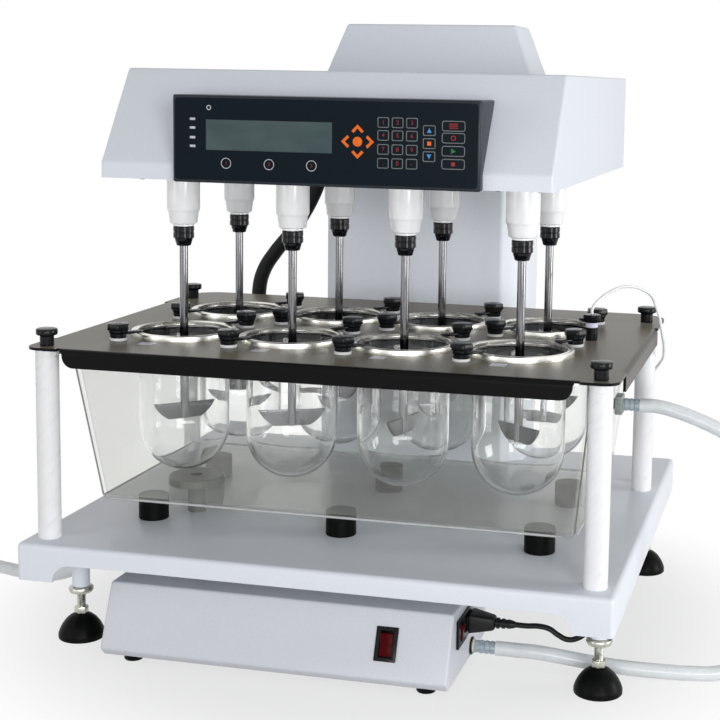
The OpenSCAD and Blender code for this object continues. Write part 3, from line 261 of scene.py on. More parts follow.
def turned(profile, steps=40):
    """A round shape: the profile of (radius, height) spun about the Z axis."""
    shape = bmesh.new()
    points = [shape.verts.new(m(max(r, 0), 0, z)) for r, z in profile]
    lines = [shape.edges.new(pair) for pair in zip(points, points[1:])]
    bmesh.ops.spin(shape, geom=points + lines, cent=(0, 0, 0), axis=(0, 0, 1), angle=2 * math.pi, steps=steps,
                   use_merge=True)
    bmesh.ops.remove_doubles(shape, verts=shape.verts, dist=1e-6)
    bmesh.ops.recalc_face_normals(shape, faces=shape.faces)
    return shape


def plain_round(r, z0, z1, steps=32):
    """A plain cylinder between two heights."""
    return turned([(0, z0), (r, z0), (r, z1), (0, z1)], steps)


def tube(r0, r1, z0, z1, steps):
    """A plain tube between two radii and two heights."""
    return turned([(r0, z0), (r1, z0), (r1, z1), (r0, z1), (r0, z0)], steps)


def thickened(shape, way):
    """A flat shape drawn along a vector, in millimetres, into a solid."""
    out = bmesh.ops.extrude_face_region(shape, geom=shape.faces[:])
    ends = [g for g in out["geom"] if isinstance(g, bmesh.types.BMVert)]
    bmesh.ops.translate(shape, verts=ends, vec=m(*way))
    bmesh.ops.recalc_face_normals(shape, faces=shape.faces)
    return shape


def drawn(outline, length):
    """A bar: an outline of points drawn along a vector, in millimetres."""
    shape = bmesh.new()
    shape.faces.new([shape.verts.new(m(*point)) for point in outline])
    return thickened(shape, length)


def corners(x0, y0, x1, y1, z):
    """The four corners of a level rectangle."""
    return [(x0, y0, z), (x1, y0, z), (x1, y1, z), (x0, y1, z)]


def boxed(low, high):
    """A block between two corners, in millimetres."""
    (x0, y0, z0), (x1, y1, z1) = low, high
    return drawn(corners(x0, y0, x1, y1, z0), (0, 0, z1 - z0))


def tapered(bottom, top):
    """A closed box with sloping sides between two rectangles."""
    shape = bmesh.new()
    low, high = ([shape.verts.new(m(*point)) for point in outline] for outline in (bottom, top))
    shape.faces.new(low[::-1])
    shape.faces.new(high)
    for i in range(4):
        shape.faces.new((low[i], low[i - 3], high[i - 3], high[i]))
    bmesh.ops.recalc_face_normals(shape, faces=shape.faces)
    return shape


def rounded(shape, r, segments=4, where=None):
    """Rounds the edges that where picks by their two ends, in millimetres."""
    chosen = [e for e in shape.edges if where is None or where(e.verts[0].co / MM, e.verts[1].co / MM)]
    bmesh.ops.bevel(shape, geom=chosen, offset=r * MM, segments=segments, profile=0.5, affect="EDGES", material=-1,
                    clamp_overlap=True)
    return shape


def edged(shape, bend, r):
    """Breaks the edges that bend by more than an angle, in radians."""
    rims = [e for e in shape.edges if len(e.link_faces) == 2 and e.calc_face_angle(0) > bend]
    bmesh.ops.bevel(shape, geom=rims, offset=r * MM, segments=2, profile=0.5, affect="EDGES", material=-1)
    return shape


def hexagon(r, height, edge):
    """A hexagon nut about the Z axis."""
    nut = bmesh.new()
    bmesh.ops.create_cone(nut, cap_ends=True, segments=6, radius1=r * MM, radius2=r * MM, depth=height * MM)
    return rounded(nut, edge, 2)


def moved(shape, *steps):
    """Moves a whole shape by matrices, in order."""
    for step in steps:
        bmesh.ops.transform(shape, matrix=step, verts=shape.verts)
    return shape


def at(x, y, z=0):
    return Matrix.Translation(m(x, y, z))


def turn(degrees, axis):
    return Matrix.Rotation(math.radians(degrees), 4, axis)


def places(spots):
    """One matrix for each (x, y)."""
    return [at(*spot) for spot in spots]


def gathered(*shapes):
    """Several shapes as one."""
    whole = bmesh.new()
    for shape in shapes:
        part = bpy.data.meshes.new("part")
        shape.to_mesh(part)
        whole.from_mesh(part)
        bpy.data.meshes.remove(part)
        shape.free()
    return whole


def repeated(shape, spots):
    """Copies of a shape, one at each matrix."""
    copies = [moved(shape.copy(), spot) for spot in spots]
    shape.free()
    return gathered(*copies)


def smoothed(mesh):
    """Smooth but for the sharp edges."""
    mesh.shade_smooth()
    mesh.set_sharp_from_angle(angle=SHARP)


def mesh_of(piece):
    """The mesh of a piece with its curve or its cuts worked out."""
    bpy.context.view_layer.update()
    return bpy.data.meshes.new_from_object(piece.evaluated_get(bpy.context.evaluated_depsgraph_get()))


def made(shape, name, *materials):
    """A mesh object of a shape, smooth but for its sharp edges."""
    mesh = bpy.data.meshes.new(name)
    shape.to_mesh(mesh)
    shape.free()
    smoothed(mesh)
    for material in materials:
        mesh.materials.append(material)
    return placed(name, mesh)


def fitted(piece, body, *stands_for, slot=None):
    """Puts a finished piece on its body, in place of the nodes that it stands for."""
    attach(piece, body)
    if stands_for:
        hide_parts(*stands_for)
    return piece


def carved(piece, *cutters):
    """Cuts shapes out of a piece and keeps the result in its mesh."""
    for cutter in cutters:
        tool = made(cutter, "tool")
        cut = piece.modifiers.new("cut", "BOOLEAN")
        cut.operation = "DIFFERENCE"
        cut.solver = "EXACT"
        cut.object = tool
        result = mesh_of(piece)
        piece.modifiers.remove(cut)
        bpy.data.objects.remove(tool)
        piece.data = result
    smoothed(piece.data)
    return piece


def underside(face):
    return face.normal.z < -0.9


def sheeted(shape, open_face, wall):
    """Opens a closed shape at the faces that open_face picks and gives it a sheet's thickness inwards."""
    gone = [f for f in shape.faces if open_face(f)]
    bmesh.ops.delete(shape, geom=gone, context="FACES")
    bmesh.ops.recalc_face_normals(shape, faces=shape.faces)
    bmesh.ops.solidify(shape, geom=shape.faces[:], thickness=wall * MM)
    return shape


def dressed(node, material):
    """A node that keeps its own shape and gets its finish."""
    nodes[node].data.materials.clear()
    nodes[node].data.materials.append(material)


# Hoses, leads and cables

# Diameters, and routes from the end on the object to the far end
HOSE, LEAD, PROBE_CABLE, SLEEVE = 16, 6, 3.5, 20
SUPPLY_ROUTE = [(312, -14, 272), (330, -14, 272), (352, -14, 268), (378, -15, 260), (404, -17, 250), (429, -20, 238),
                (452, -25, 221.5), (472, -32, 199), (485, -42, 172), (492, -54, 141), (492, -68, 109), (486, -90, 72),
                (472, -111, 42), (450, -128, 21), (422, -139, 11.5), (392, -144.5, 9.5), (358, -148, 9.5),
                (324, -151, 10.5), (290, -153.5, 13), (256, -156, 17), (224, -157, 20), (200, -157, 20),
                (178, -157, 20)]
DRAIN_ROUTE = [(-226, -122, 104), (-244, -122, 104), (-265, -119, 98.5), (-290, -112, 86), (-315, -102, 69),
               (-342, -90, 51), (-371, -77, 34), (-402, -63, 20), (-433, -49, 11.5), (-464, -38, 8.8),
               (-494, -29, 8.2), (-520, -22, 8.2)]
RETURN_ROUTE = [(-190, -86, 104), (-190, -61, 104), (-189, -33, 101.5), (-181, -7, 96), (-163, 13, 89),
                (-138, 24, 80), (-109, 24, 70), (-84, 13, 61.5), (-66, -7, 55), (-57, -33, 51), (-56, -50, 50),
                (-56, -60, 50)]
LEAD_ROUTE = [(285, -172, 110), (285, -172, 97), (285, -172.5, 84), (285, -173, 70), (283.4, -174.5, 60.8),
              (278.1, -176, 53), (270.4, -177, 47.8), (260.7, -178, 46), (250.2, -179, 50.5), (241.3, -179, 56),
              (229.1, -179, 58), (216.2, -179, 57), (204, -179, 57)]
PROBE_ROUTE = [(255.7, -32, 378), (255.7, -32, 383), (257.7, -29, 388), (262.7, -21, 394), (270.7, -8, 400),
               (280.7, 11, 404), (292.7, 33, 403), (303.7, 52, 397), (312.7, 67, 387.5), (317, 76, 374),
               (321.5, 77, 361), (324, 78, 347.5), (326, 82, 335), (325.5, 100, 324), (324, 117, 312),
               (321, 136, 301), (316, 151, 292), (309, 159, 281), (302, 161, 266), (298, 160.5, 249),
               (297, 160, 228), (297, 160, 200), (297, 160, 172), (297, 160, 150)]
SLEEVE_ROUTE = [(-170, 256, 531), (-170, 256, 516), (-172, 255, 500), (-180, 253, 478), (-194, 252, 452),
                (-213, 251, 424), (-234, 250, 398), (-250, 250, 373), (-257, 250, 347), (-256, 250, 322),
                (-246, 250, 301), (-228, 250, 288), (-206, 250, 282), (-184, 250, 282), (-162, 250, 282)]


def laid(name, route, diameter, material):
    """A hose or lead as one curve through its route."""
    curve = bpy.data.curves.new(name, "CURVE")
    curve.dimensions = "3D"
    curve.bevel_depth = diameter / 2 * MM
    curve.bevel_resolution = 5
    curve.resolution_u = 8
    curve.use_fill_caps = True
    spline = curve.splines.new("BEZIER")
    spline.bezier_points.add(len(route) - 1)
    for knot, place in zip(spline.bezier_points, route):
        knot.co = m(*place)
        knot.handle_left_type = knot.handle_right_type = "AUTO"
    curve.materials.append(material)
    return placed(name, curve)


def length_of(piece):
    bpy.context.view_layer.update()
    return piece.data.splines[0].calc_length()


supply_hose = fitted(laid("supply_hose_laid", SUPPLY_ROUTE, HOSE, hose_milky), "base", "supply_hose")
drain_hose = fitted(laid("drain_hose_laid", DRAIN_ROUTE, HOSE, hose_milky), "base", "drain_hose")
return_hose = fitted(laid("return_hose_laid", RETURN_ROUTE, HOSE, hose_milky), "base", "return_hose")
lead = fitted(laid("lead_laid", LEAD_ROUTE, LEAD, lead_black), "base", "lead")
probe_cable = fitted(laid("probe_cable_laid", PROBE_ROUTE, PROBE_CABLE, probe_grey), "base", "probe_cable")

# The sleeve is a mesh tube made from its bent curve, between the column and the head
sleeve_line = laid("sleeve_line", SLEEVE_ROUTE, SLEEVE, sleeve_black)
sleeve_mesh = mesh_of(sleeve_line)
sleeve_length = length_of(sleeve_line)
knots = sleeve_line.data.splines[0].bezier_points
sleeve_path = [point for a, b in zip(knots, knots[1:])
               for point in interpolate_bezier(a.co, a.handle_right, b.handle_left, b.co, 7)]
bpy.data.objects.remove(sleeve_line)
sleeve = placed("cable_sleeve_bent", sleeve_mesh)
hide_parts("cable_sleeve")
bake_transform(sleeve)

plug_way = (m(*DRAIN_ROUTE[-1]) - m(*DRAIN_ROUTE[-2])).normalized()
plug_place = Matrix.Translation(m(*DRAIN_ROUTE[-1])) @ plug_way.to_track_quat("Z", "Y").to_matrix().to_4x4()
drain_plug = made(moved(turned([(0, 0), (7, 0), (7, 8), (8, 8.5), (8, 13), (7, 14), (0, 14)], 28), plug_place),
                  "drain_plug_turned", knob_black)
fitted(drain_plug, "base", "drain_plug")

# Mains plug of the heater's lead, with its ribbed strain relief


def plug_shape():
    grip = boxed((153.3, -193, 46), (182, -165, 68))
    ends = [v for v in grip.verts if v.co.x > 160 * MM]
    bmesh.ops.scale(grip, vec=(1, 0.57, 0.62), verts=ends, space=at(-182, 179, -57))
    rounded(grip, 3, 3)
    nose = rounded(boxed((138.5, -190.5, 49.5), (154, -167.5, 64.5)), 1.5, 2)
    ribs = [(0, 0), (6, 0)]
    for i in range(4):
        ribs += [(6.5 - 0.5 * i, 1 + 6 * i), (6.5 - 0.5 * i, 4 + 6 * i), (4.6, 4.6 + 6 * i), (4.4, 6.4 + 6 * i)]
    ribs += [(3.2, 28), (0, 28)]
    relief = moved(turned(ribs, 24), turn(90, "Y"), at(176, -179, 57))
    return gathered(grip, nose, relief)


lead_plug = fitted(made(plug_shape(), "lead_plug_moulded", lead_black), "base", "lead_plug")

m(*SUPPLY_ROUTE[0])
length_of(supply_hose)
m(*DRAIN_ROUTE[0])
length_of(drain_hose)
m(*RETURN_ROUTE[0])
length_of(return_hose)
m(*LEAD_ROUTE[0])
length_of(lead)
m(*PROBE_ROUTE[0])
length_of(probe_cable)
m(*SLEEVE_ROUTE[0])

# Base tray and levelling feet

BASE_TOP, TANK_FLOOR, PLATE_TOP = 136, 164, 348
FEET = [(-298, -200), (298, -200), (-298, 218), (298, 218)]
POSTS = [(-301, -263), (301, -263), (-301, 122), (301, 122)]
TANK_FEET = [(x, y) for x in (-225, 0, 225) for y in (-163, 27)]
HEATER_FEET = [(x, y) for x in (-212, 122) for y in (-244, -108)]
PITCH, FRONT_ROW, BACK_ROW = 130, -144, 22
VESSELS = [((k % 4 - 1.5) * PITCH, FRONT_ROW if k < 4 else BACK_ROW) for k in range(8)]
BLADE_TURNS = [51, 28, 80, -44, 20, -35, 62, 8]
DRAIN_AT = (-190, -122)
HEATER_END, SOCKET_Z = 150, 57
# Depth and height of the tank's inlet and the heater's outlet, which point along X
INLET, OUTLET = (-14, 272), (-157, 20)
RETURN_X, RETURN_Z = -56, 50


def upright(a, b):
    return abs(a.z - b.z) > 1 and abs(a.x - b.x) < 0.1 and abs(a.y - b.y) < 0.1


def tray_shape():
    tray = boxed((-325, -293, 95), (325, 293, BASE_TOP))
    rounded(tray, 5.5, 5, lambda a, b: upright(a, b) or (a.z > BASE_TOP - 1 and b.z > BASE_TOP - 1))
    return sheeted(tray, underside, 3)


def arch_tool():
    tool = drawn([(-283, -300, 90), (283, -300, 90), (283, -300, 115), (-283, -300, 115)], (0, 16, 0))
    return rounded(tool, 19.9, 8, lambda a, b: a.z > 114 and b.z > 114 and abs(a.x - b.x) < 1)


base_tray = carved(made(tray_shape(), "base_tray_folded", powder_coat), arch_tool(),
                   moved(plain_round(10.3, 120, 150), at(*DRAIN_AT)))
fitted(base_tray, "base", "base_tray")
boss = turned([(5.1, 60.3), (9.2, 60.3), (10, 61), (10, 131.5), (11.2, 133), (5.1, 133), (5.1, 60.3)], 32)
fitted(made(repeated(boss, places(FEET)), "foot_bosses", powder_coat), "base", slot="powder_white")

pad = [(5.2, 17.7), (5.2, 28), (8.5, 27.6), (12.5, 25.6), (17.5, 21.4), (21.8, 15.6), (24.4, 10.4), (25.6, 7),
       (26, 5.6), (26, 1.2), (25.2, 0.3), (24, 0), (0, 0), (0, 17.7), (5.2, 17.7)]
tank_foot = [(0, 136), (16.4, 136), (17, 136.8), (17, 162.6), (16, 163.8), (0, 164)]
heater_foot = [(0, 0), (9.8, 0), (10.6, 1.2), (11, 7.2), (10.6, 8), (0, 8)]
feet_shape = gathered(repeated(turned(pad, 48), places(FEET)), repeated(turned(tank_foot, 40), places(TANK_FEET)),
                      repeated(turned(heater_foot, 32), places(HEATER_FEET)))
fitted(made(feet_shape, "rubber_feet_moulded", rubber_black), "base", "rubber_feet")


def stem_shape():
    thread = [(0, 18), (4.4, 18), (5, 18.6), (5, 36.2)]
    for i in range(10):
        thread += [(4.5, 37 + 1.5 * i), (5, 37.7 + 1.5 * i)]
    thread += [(5, 52), (9, 52), (12.6, 53.6), (13.8, 56), (14, 57.6), (13.4, 59.2), (11, 60), (5, 60), (5, 126.5),
               (0, 126.5)]
    return gathered(turned(thread, 32), moved(hexagon(8, 8, 0.6), at(0, 0, 32.4)))


for k, place in enumerate(FEET, 1):
    stem = made(moved(stem_shape(), at(*place)), f"foot_stem_{k}_threaded", zinc)
    fitted(stem, f"foot_stem_{k}", f"foot_stem_{k}")

# Posts, plate, rings and clamps

POST_R = 0.0125


def wrapped(piece, axis_places):
    """A UV map that runs round each upright bar and slants along it, one unit to a metre."""
    layer = piece.data.uv_layers.new(name="slanted")
    for polygon in piece.data.polygons:
        middle = polygon.center
        x, y = min(axis_places, key=lambda p: (m(*p, 0) - Vector((middle.x, middle.y, 0))).length)
        ref = math.atan2(middle.y - y * MM, middle.x - x * MM)
        for loop in polygon.loop_indices:
            point = piece.data.vertices[piece.data.loops[loop].vertex_index].co
            angle = math.atan2(point.y - y * MM, point.x - x * MM)
            angle += 2 * math.pi * round((ref - angle) / (2 * math.pi))
            layer.data[loop].uv = (point.z + 0.7 * angle * POST_R, angle * POST_R * 0.8 - 0.8 * point.z)
    return piece


post = [(3.3, 136), (12.1, 136), (12.5, 136.6), (12.5, 337), (11.9, 337.6), (11.9, 339), (12.5, 339.6), (12.5, 344),
        (11.8, 345), (3.3, 345), (3.3, 136)]
posts = made(repeated(turned(post, 40), places(POSTS)), "corner_posts_turned", post_paint)
fitted(wrapped(posts, POSTS), "base", "corner_posts")

corner_knob = [(0, 323), (3, 323), (3, 348), (7.1, 348), (7.5, 348.6), (7.5, 358.5), (8.4, 359.6), (10.6, 360),
               (11.4, 361), (11.5, 362), (11.5, 365.6), (10.9, 366.6), (9.4, 367), (0, 367)]
fitted(made(repeated(turned(corner_knob, 40), places(POSTS)), "corner_knobs_turned", knob_black), "base",
       "corner_knobs")

dressed("vessel_plate", plate_black)
ring = [(51.5, 351.4), (51.5, 353.2), (52.2, 354), (53.6, 354), (54.2, 353.5), (56.6, 353.5), (57.2, 354), (58, 354),
        (58.7, 353.4), (59, 352.4), (59, 348), (57.4, 348), (57.4, 351.3), (51.5, 351.4)]
fitted(made(repeated(turned(ring, 72), places(VESSELS)), "vessel_rings_turned", ring_steel), "base", "vessel_rings")

collar = tube(51.2, 51.9, 325, 347.6, 72)
fitted(made(repeated(collar, places(VESSELS)), "vessel_collars", plate_black), "base", slot="plate_black")

CLAMP_OUT, CLAMP_TURNS = 81, (232, 52)
CLAMPS = [at(x, y) @ turn(a, "Z") @ at(CLAMP_OUT, 0) for x, y in VESSELS for a in CLAMP_TURNS]
clamp_foot = turned([(0, 348), (9, 348), (9.5, 348.5), (9.5, 350.6), (9, 351.1), (0, 351.1)], 32)
fitted(made(repeated(clamp_foot, CLAMPS), "vessel_clamps_moulded", clamp_white), "base", "vessel_clamps")


def lobed_knob():
    knob = bmesh.new()
    bmesh.ops.create_cone(knob, cap_ends=True, segments=12, radius1=13.5 * MM, radius2=13 * MM, depth=7 * MM)
    inner = [v for v in knob.verts if round(math.degrees(math.atan2(v.co.y, v.co.x)) / 30) % 2]
    bmesh.ops.scale(knob, vec=(0.84, 0.84, 1), verts=inner)
    rounded(knob, 2, 3, lambda a, b: abs(a.z - b.z) > 3)
    edged(knob, 1, 0.8)
    stalk = turned([(0, 351.1), (8.4, 351.1), (9, 352), (9, 355.6), (10.6, 358), (10.6, 361.5), (0, 361.5)], 28)
    finger = rounded(boxed((-27, -4.5, 354.3), (0, 4.5, 357.3)), 1, 2)
    boss_top = turned([(0, 366.9), (4.6, 366.9), (4.4, 367.3), (0, 367.3)], 20)
    return gathered(moved(knob, at(0, 0, 363.6)), stalk, finger, boss_top)


fitted(made(repeated(lobed_knob(), CLAMPS), "clamp_knobs_lobed", knob_black), "base", "clamp_knobs")

label = rounded(boxed((-8.5, -7.5, PLATE_TOP), (8.5, 7.5, PLATE_TOP + 0.12)), 0.04, 1)
fitted(made(repeated(label, [at(x, -218) for x in (-206, -75, 57, 187)]), "plate_labels", label_pale), "base",
       slot="white_plastic")

# Glass vessels and the tank

vessel = [(0, 192)] + arc(51, 243, -90, 0, 14)[1:] + [(51, 346), (52, 348), (56, 348), (57, 348.8), (57, 350.4),
         (56.2, 351), (50.4, 351), (49, 349.4)] + arc(49, 243, 0, -90, 14)
fitted(made(repeated(turned(vessel, 64), places(VESSELS)), "vessels_blown", vessel_glass), "base", "vessels")

MARK_TURNS = [224, 262, 346, 250, 300, 230, 275, 330]
scale_marks = gathered(*[boxed((50.95, -w / 2, z - 0.3), (51.2, w / 2, z + 0.3))
                         for w, z in ((9, 318), (6, 314), (6, 310), (6, 306), (9, 302))])
fitted(made(repeated(scale_marks, [at(*p) @ turn(a, "Z") for p, a in zip(VESSELS, MARK_TURNS)]), "vessel_marks",
            label_pale), "base", slot="white_plastic")


def tank_shape():
    tank = tapered(corners(-270, -206, 270, 69, TANK_FLOOR), corners(-290, -238, 290, 102, 344.7))
    rounded(tank, 10, 6, lambda a, b: abs(a.z - b.z) > 100)
    rounded(tank, 7, 4, lambda a, b: a.z < TANK_FLOOR + 1 and b.z < TANK_FLOOR + 1)
    return sheeted(tank, lambda f: f.normal.z > 0.9, 5)


tank = carved(made(tank_shape(), "tank_moulded", tank_acrylic),
              moved(plain_round(10.3, 150, 200), at(*DRAIN_AT)),
              moved(plain_round(6.3, -30, 30), turn(90, "Y"), at(281.9, *INLET)))
fitted(tank, "base", "tank")


def bar(start, end, r):
    """A round bar between two points."""
    way = Vector(end) - Vector(start)
    return moved(plain_round(r, 0, way.length, 12), way.to_track_quat("Z", "Y").to_matrix().to_4x4(), at(*start))


# Pale bars along the floor edges, drawn as cement joints and painted pale as the highlight that the rounded floor edge
# catches
SEAM_Z, SEAM_R = 167.6, 1.3
floor_highlight_seams = [bar((-258, y, SEAM_Z), (258, y, SEAM_Z), SEAM_R) for y in (-206.2, 69.2)]
floor_highlight_seams += [bar((x, -196, SEAM_Z), (x, 59, SEAM_Z), SEAM_R) for x in (-270.2, 270.2)]
fitted(made(gathered(*floor_highlight_seams), "tank_floor_highlight_seams", seam_pale_painted_highlight), "base", slot="tank_clear")
# Dark olive bars down the rounded front corners: painted shade for the dark line that the curved corners show
corner_shade_seams = [bar((s * 268.8, -200.5, 170), (s * 288.6, -232.2, 342), 0.9) for s in (-1, 1)]
fitted(made(gathered(*corner_shade_seams), "tank_corner_shade_seams", seam_olive_painted_shade), "base", slot="tank_clear")

# Fittings


def tail(length):
    """A ribbed hose tail along +X."""
    profile = [(0, 0), (6.6, 0)]
    for i in (3, 2, 1):
        start = length - 6 * i
        profile += [(6.6, start), (7.4, start + 0.8), (7.4, start + 1.6), (6.6, start + 5)]
    profile += [(6.6, length), (3.4, length), (3.4, length - 8), (0, length - 8)]
    return moved(turned(profile, 28), turn(90, "Y"))


drain_disc = turned([(7, 174), (7, 179), (8, 179), (30.5, 179), (32, 177.6), (32, 169), (7, 169), (7, 174)], 56)
drain_pipe = tube(7, 10, 104, 169, 32)
tee = rounded(boxed((-12, -12, 92), (12, 12, 116)), 5, 4)
tails = [moved(tail(36), turn(a, "Z"), at(0, 0, 104)) for a in (90, 180)]
fitted(made(moved(gathered(drain_disc, drain_pipe, tee, *tails), at(*DRAIN_AT)), "drain_fitting_turned", drain_grey),
       "base", "drain_fitting")

inlet_block = rounded(boxed((283.6, -25, 261), (292.6, -3, 283)), 1.4, 3)
inlet_nut = moved(hexagon(11, 6, 0.8), turn(90, "Y"), at(273.4, *INLET))
inlet_pipe = moved(plain_round(6, 0, 17, 28), turn(90, "Y"), at(268, *INLET))
fitted(made(gathered(inlet_block, inlet_nut, inlet_pipe), "tank_inlet_moulded", inlet_grey), "base",
       slot="fitting_grey")

barbs = gathered(moved(tail(19.4), at(292.6, *INLET)), moved(tail(25), at(153, *OUTLET)),
                 moved(tail(25), turn(90, "Z"), at(RETURN_X, -85, RETURN_Z)))
fitted(made(barbs, "hose_tails_moulded", barb_blue), "base", "hose_barbs")
FLANGE = [(0, 0), (9.6, 0), (10, 0.5), (10, 1.5), (9.4, 2), (0, 2)]
flanges = gathered(moved(turned(FLANGE, 36), turn(90, "Y"), at(HEATER_END, *OUTLET)),
                   moved(turned(FLANGE, 36), turn(-90, "X"), at(RETURN_X, -88, RETURN_Z)))
fitted(made(flanges, "tail_flanges", knob_black), "base", slot="black_plastic")
washer = moved(turned([(5, 0), (7.6, 0), (8, 0.5), (8, 1.6), (7.5, 2.2), (5, 2.2)], 32), turn(90, "Y"),
               at(152, *OUTLET))
fitted(made(washer, "tail_washer", washer_cream), "base", slot="fitting_grey")

# Heater box with its switch and mains inlet

HEATER_SECTION = [(-261, 8), (-270, 17), (-241, 84), (-88, 84), (-88, 8)]
HEATER_INSIDE = [(-259.2, 10), (-267.6, 17), (-239.6, 82), (-90, 82), (-90, 10)]
FRONT_LEAN = math.degrees(math.atan2(67, 29))
SWITCH_PLACE = at(81, -255.5, 50.5) @ turn(FRONT_LEAN, "X")
END_PLACE = turn(90, "Z") @ turn(90, "X")
BACK_PLACE = turn(180, "Z") @ turn(90, "X")


def rocker_room():
    return moved(boxed((-7.3, -14, -13), (7.3, 14, 24)), SWITCH_PLACE)


heater_shape = drawn([(-240, y, z) for y, z in HEATER_SECTION], (390, 0, 0))
rounded(heater_shape, 2.4, 4)
heater_case = made(heater_shape, "heater_case_folded", heater_paint)
carved(heater_case, drawn([(-238, y, z) for y, z in HEATER_INSIDE], (386, 0, 0)),
       moved(boxed((-10, -16, -8), (10, 16, 8)), SWITCH_PLACE),
       boxed((142, -227, 44), (156, -166, 70)),
       moved(plain_round(5.3, -12, 12), turn(90, "Y"), at(HEATER_END, *OUTLET)),
       moved(plain_round(5.3, -12, 12), turn(90, "X"), at(RETURN_X, -88, RETURN_Z)))
fitted(heater_case, "base", "heater_case")

bezel = rounded(boxed((-12, -18, 0), (12, 18, 2)), 0.9, 3)
bezel_body = boxed((-9.7, -15.7, -16), (9.7, 15.7, 0.5))
heater_bezel = carved(made(moved(bezel, SWITCH_PLACE), "heater_bezel_moulded", knob_black), rocker_room())
bezel_back = carved(made(moved(bezel_body, SWITCH_PLACE), "heater_switch_body", knob_black), rocker_room())
fitted(heater_bezel, "base", "heater_bezel")
fitted(bezel_back, "base", slot="black_plastic")


def rocker_shape(w, h):
    crest = 6.5
    profile = [(-w / 2, -h / 2, -2), (-w / 2, h / 2, -2), (-w / 2, h / 2, crest), (-w / 2, 0, crest - 1.3),
               (-w / 2, -h / 2, crest)]
    key = rounded(drawn(profile, (w, 0, 0)), 0.5, 2)
    pin = moved(plain_round(1.5, -w / 2 - 2, w / 2 + 2, 20), turn(90, "Y"))
    return moved(gathered(key, pin), turn(8, "X"), at(0, 0, -4))


heater_rocker = made(moved(rocker_shape(14, 24), SWITCH_PLACE), "heater_rocker_moulded", rocker_red)
fitted(heater_rocker, "heater_rocker", "heater_rocker")

socket_place = at(HEATER_END, -196.5, SOCKET_Z) @ END_PLACE
rear_place = at(100, 288, 230) @ BACK_PLACE
PLUG_ROOM = (-12, -7.8, -12), (12, 7.8, 5)
SMALL_ROCKER_ROOM = (-22.3, -10, -13), (-12.7, 10, 27)
for inlet, half, place, plug_x, stands_for in (("mains_inlet", 33, socket_place, 17.5, ["mains_inlets"]),
                                               ("rear_inlet", 20, rear_place, 0, [])):
    flange = rounded(boxed((-half, -15.5, 0), (half, 15.5, 3)), 1, 3)
    body = boxed((2.8 - half, -12.7, -24), (half - 2.8, 12.7, 0.5))
    for part, shape, stood_for in (("flange", flange, stands_for), ("body", body, [])):
        piece = made(moved(shape, place), f"{inlet}_{part}", knob_black)
        carved(piece, moved(boxed(*PLUG_ROOM), at(plug_x, 0), place))
        if place is socket_place:
            carved(piece, moved(boxed(*SMALL_ROCKER_ROOM), place))
        fitted(piece, "base", *stood_for, slot="black_plastic")
pin = rounded(boxed((-1, -2, -11), (1, 2, 1)), 0.4, 2)
pins = moved(repeated(pin, places([(-7, -1), (0, 2), (7, -1)])), rear_place)
fitted(made(pins, "rear_inlet_pins", mill_steel), "base", slot="zinc_steel")
small_rocker = moved(rocker_shape(9, 16), at(0, 0, 3), at(HEATER_END, -214, SOCKET_Z) @ END_PLACE)
inlet_rocker = made(small_rocker, "inlet_rocker_moulded", rocker_red)
fitted(inlet_rocker, "inlet_rocker", "inlet_rocker")

glands = gathered(
    moved(turned([(3.1, 110), (5, 110), (5.5, 111), (5.5, 122.6), (8.6, 123.2), (9, 124), (9, 132.4), (8.6, 133),
                  (3.1, 133), (3.1, 110)], 28), at(*LEAD_ROUTE[0][:2])),
    moved(turned([(1.8, 150), (3.6, 150), (4.25, 149), (4.25, 143.4), (6.9, 142.8), (7.25, 142), (7.25, 136.6),
                  (6.9, 136), (1.8, 136), (1.8, 150)], 28), at(*PROBE_ROUTE[-1][:2])),
    moved(turned([(10.1, 0), (11.4, 0), (12, 0.8), (12, 6), (13.4, 6.6), (14, 7.6), (14, 15), (10.1, 15), (10.1, 0)],
                 36), turn(90, "Y"), at(*SLEEVE_ROUTE[-1])))
fitted(made(glands, "cable_glands_turned", knob_black), "base", "cable_glands")

# Column with the lift inside

COLUMN_TOP, SHELL_SHEET = 526, 2.5
COLUMN_PLAN = [(-147, 288), (-147, 220), (-117, 190), (101, 190), (131, 220), (131, 288)]
column_shape = drawn([(x, y, BASE_TOP) for x, y in COLUMN_PLAN], (0, 0, COLUMN_TOP - BASE_TOP))
rounded(column_shape, 3, 4, lambda a, b: upright(a, b) or (a.z > COLUMN_TOP - 1 and b.z > COLUMN_TOP - 1))
column_shape = sheeted(column_shape, underside, SHELL_SHEET)
column_shell = carved(made(column_shape, "column_shell_folded", column_paint_painted_lighter),
                      boxed((-86, 196, 515), (86, 283, 540)),
                      moved(boxed((-17.5, -13, -12), (17.5, 13, 8)), rear_place))
fitted(column_shell, "base", "column_shell")
dressed("lift_frame", mill_steel)
dressed("lift_screw", shaft_steel)
dressed("lift_carriage", mill_steel)

# Head, hood and panel

HEAD_BOTTOM, HEAD_TOP, HOOD_TOP = 530, 647, 712
HEAD_SECTION = [(-245, HEAD_BOTTOM), (293, HEAD_BOTTOM), (293, HEAD_TOP), (-177, HEAD_TOP), (-245, 547)]
head_shape = drawn([(-244.5, y, z) for y, z in HEAD_SECTION], (489, 0, 0))
rounded(head_shape, 2.6, 4, lambda a, b: not (a.z < HEAD_BOTTOM + 1 and b.z < HEAD_BOTTOM + 1))
head_shape = sheeted(head_shape, underside, SHELL_SHEET)
head_cover = carved(made(head_shape, "head_cover_folded", head_paint), boxed((-126, 195, 630), (126, 276, 660)))
fitted(head_cover, "head", "head_cover")


def hood_shape():
    hood = tapered(corners(-138, 183, 138, 288, HEAD_TOP), corners(-113, 195.5, 113, 284, HOOD_TOP))
    rounded(hood, 3, 4, lambda a, b: not (a.z < HEAD_TOP + 1 and b.z < HEAD_TOP + 1))
    return sheeted(hood, underside, SHELL_SHEET)


